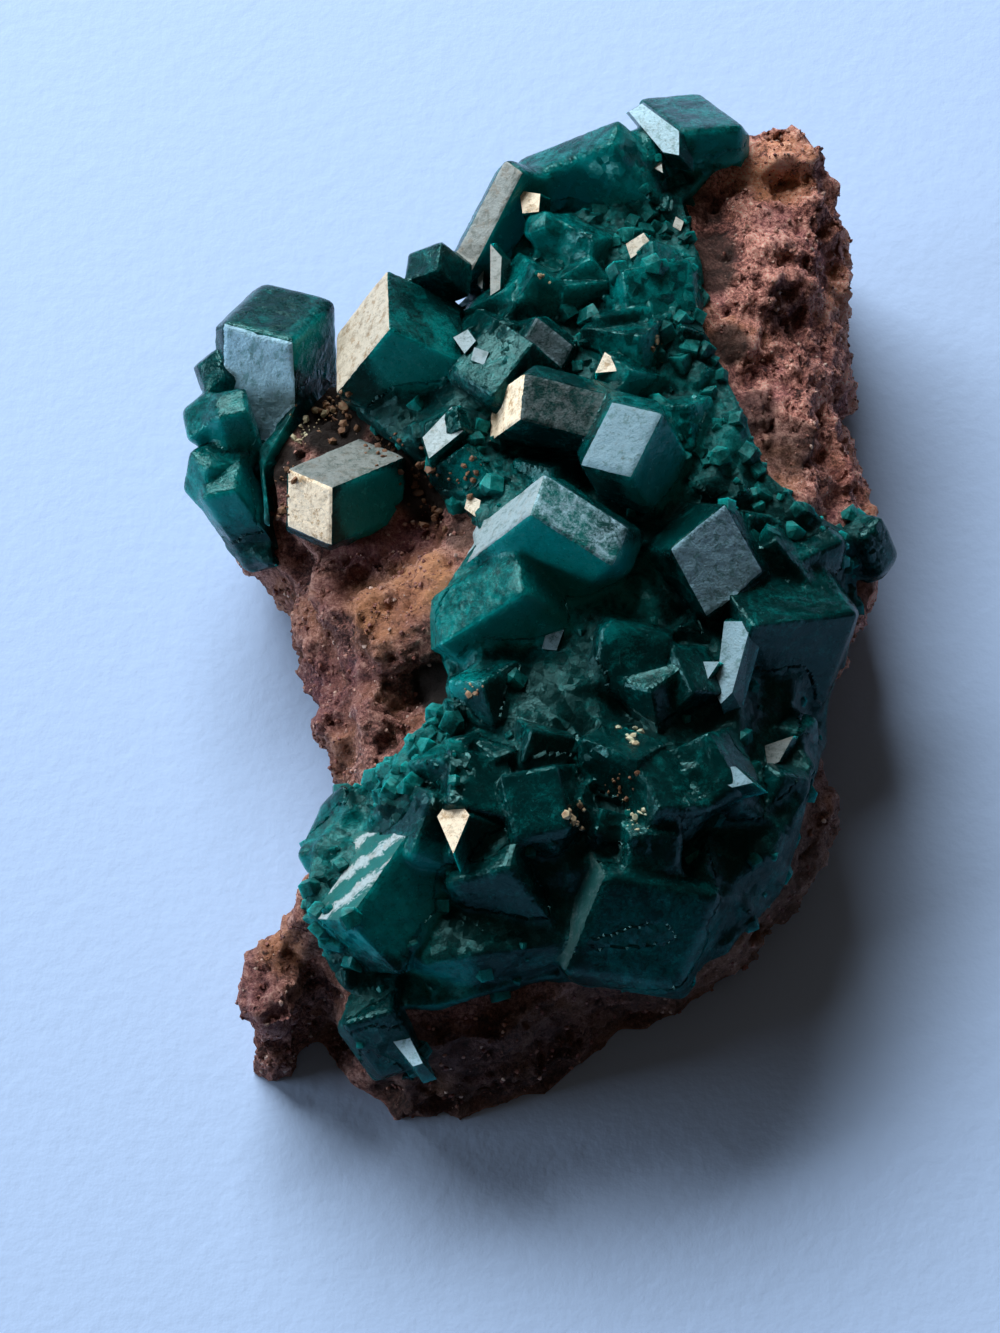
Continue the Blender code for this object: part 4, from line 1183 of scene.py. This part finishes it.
# %% Crumbs
# Each group is across, up, spread in millimetres, number and paleness.
CRUMB_GROUPS = [
    (8.1, -4.3, 0.8, 9, 0.9), (4.6, -9.2, 0.8, 10, 0.6), (8.6, -9.2, 1.1, 16, 1.0),
    (7.2, -7.4, 1.4, 14, 0.3), (-2.0, 11.8, 1.4, 16, 0.2), (-4.6, 12.4, 1.2, 12, 0.15),
    (-11.8, 15.6, 1.2, 12, 0.45), (-9.8, 15.2, 1.4, 14, 0.2), (-1.7, -1.4, 0.8, 8, 0.5),
    (2.6, 24.2, 0.6, 5, 0.5), (-13.4, 11.8, 0.8, 14, 0.15), (10.2, 20.0, 0.8, 6, 0.6),
    (-12.2, 14.6, 1.0, 22, 0.75), (-10.2, 16.4, 1.3, 26, 0.35), (-7.2, 13.6, 1.2, 24, 0.1),
    (-5.0, 11.6, 1.4, 26, 0.05), (-13.9, 9.6, 0.8, 12, 0.1), (-4.2, 9.4, 1.0, 14, 0.2),
]


def make_crumb_material():
    """From dark earth to pale greenish grey, by the paleness kept on each crumb."""
    material, tree = new_material("crumb")
    where = object_place(tree)
    paleness = stored(tree, "paleness")
    mottle = tree.noise(where, 0.5 * MM, 4.0, 0.65)
    base = tree.node("ShaderNodeValToRGB", {"stops": [
        (0.0, (0.05, 0.022, 0.014)), (0.4, (0.20, 0.10, 0.05)), (0.7, (0.45, 0.42, 0.28)),
        (1.0, (0.50, 0.66, 0.54))]}, {"Fac": paleness * 0.7 + mottle * 0.8 - 0.25})
    shader = tree.node("ShaderNodeBsdfPrincipled", {}, {
        "Base Color": base, "Roughness": 0.5 + 0.4 * mottle})
    finish_material(tree, shader)
    return material


def make_crumbs():
    draw = random.Random(21)
    shape = bmesh.new()
    paleness = shape.verts.layers.float.new("paleness")
    for across, up, spread, number, pale in CRUMB_GROUPS:
        for _ in range(number):
            line = sight(draw.gauss(across, spread * 0.45), draw.gauss(up, spread * 0.45))
            spot = every_surface.ray_cast(eye, line)[0]
            size = (0.1 + 0.35 * draw.random() ** 2) * MM
            turn = Matrix.Rotation(draw.uniform(0.0, 6.28), 3, "Z") @ Matrix.Rotation(
                draw.uniform(0.0, 6.28), 3, "X")
            made = bmesh.ops.create_icosphere(shape, subdivisions=1, radius=1.0)["verts"]
            stretch = Vector((draw.uniform(0.6, 1.3), draw.uniform(0.6, 1.2), draw.uniform(0.4, 0.9)))
            for vertex in made:
                bumpy = vertex.co * (0.8 + 0.4 * noise.noise(vertex.co * 2.0 + spot * 900.0))
                vertex.co = spot + turn @ (bumpy * stretch) * size
                vertex[paleness] = min(1.0, max(0.0, draw.gauss(pale, 0.12)))
    mesh = bpy.data.meshes.new("crumbs")
    shape.to_mesh(mesh)
    shape.free()
    mesh.materials.append(make_crumb_material())
    return new_piece("crumbs", mesh)


crumbs = make_crumbs()
print("crumbs", sum(group[3] for group in CRUMB_GROUPS), "in", len(CRUMB_GROUPS), "groups")

# %% [markdown]
# ## The light and the table
# One large low window behind and to the left gives the long soft shadow to the lower right. The rest
# of the room is a dim warm glow, with a fill from the left. The table is a plain pale sheet, a little
# blue, as white paper looks beside a window.

# %% The table
SHEET_BLUE = colour(0.42, 0.61, 0.95)


def make_table():
    bpy.ops.mesh.primitive_plane_add(size=2.4, location=(0.0, 0.0, 0.0))
    table = bpy.context.object
    table.name = "pale_sheet"
    material, tree = new_material("pale_sheet")
    where = object_place(tree)
    tooth = tree.noise(where, 1.2 * MM, 3.0, 0.6)
    bump = tree.node(
        "ShaderNodeBump", {}, {"Strength": 0.25, "Distance": 0.2 * MM, "Height": tooth})
    shader = tree.node("ShaderNodeBsdfPrincipled", {}, {
        "Base Color": SHEET_BLUE, "Roughness": 0.85, "Normal": bump})
    finish_material(tree, shader)
    table.data.materials.append(material)
    return table


table = make_table()
print("table", table.name)

# %% The window and the room
# Each is name, place, width, height, power in watts and tint.
LAMPS = [
    ("window", WINDOW_PLACE, 0.68, 0.34, 11.2, (1.0, 0.98, 0.95)),
    ("room_fill", Vector((-0.84, -0.06, 0.16)), 0.4, 0.2, 3.8, (0.86, 0.93, 1.0)),
]
LAMPS_AIM = Vector((0.0, 0.0, 0.01))
ROOM_GLOW = colour(1.0, 0.76, 0.58)
ROOM_STRENGTH = 0.06
BOUNCES = {
    "max_bounces": 8, "transmission_bounces": 6, "glossy_bounces": 3, "diffuse_bounces": 2}


def hang_lamp(name, place, width, height, power, tint):
    light = bpy.data.lights.new(name, "AREA")
    light.shape = "RECTANGLE"
    light.size = width
    light.size_y = height
    light.energy = power
    light.color = tint
    lamp = bpy.data.objects.new(name, light)
    lamp.location = place
    lamp.rotation_euler = (LAMPS_AIM - place).to_track_quat("-Z", "Y").to_euler()
    bpy.context.scene.collection.objects.link(lamp)


for lamp_values in LAMPS:
    hang_lamp(*lamp_values)
scene = bpy.context.scene
scene.world = bpy.data.worlds.new("room")
scene.world.use_nodes = True
glow = scene.world.node_tree.nodes["Background"]
glow.inputs["Color"].default_value = ROOM_GLOW
glow.inputs["Strength"].default_value = ROOM_STRENGTH
scene.view_settings.view_transform = "Standard"
scene.cycles.use_denoising = True
for kind, number in BOUNCES.items():
    setattr(scene.cycles, kind, number)
scene.cycles.caustics_refractive = False
scene.cycles.caustics_reflective = False
print("lights", [light.name for light in bpy.data.lights])

# %% [markdown]
# ## Handing over
# Every piece moves with the one body of the specimen. The rock and the crystal surfaces stand for the
# plain solids they were made from, and the small pieces only add to them.

# %% Hand the pieces over
def hand_over(piece, node_name):
    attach(piece, "root")
    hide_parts(node_name)


hand_over(rock, "matrix_rock")
for name, piece in crystals.items():
    hand_over(piece, name)
for piece, slot in ((druse, "dioptase_green"), (facets, "dioptase_green"),
                    (grains, "matrix_brown"), (crumbs, "matrix_brown")):
    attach(piece, "root")
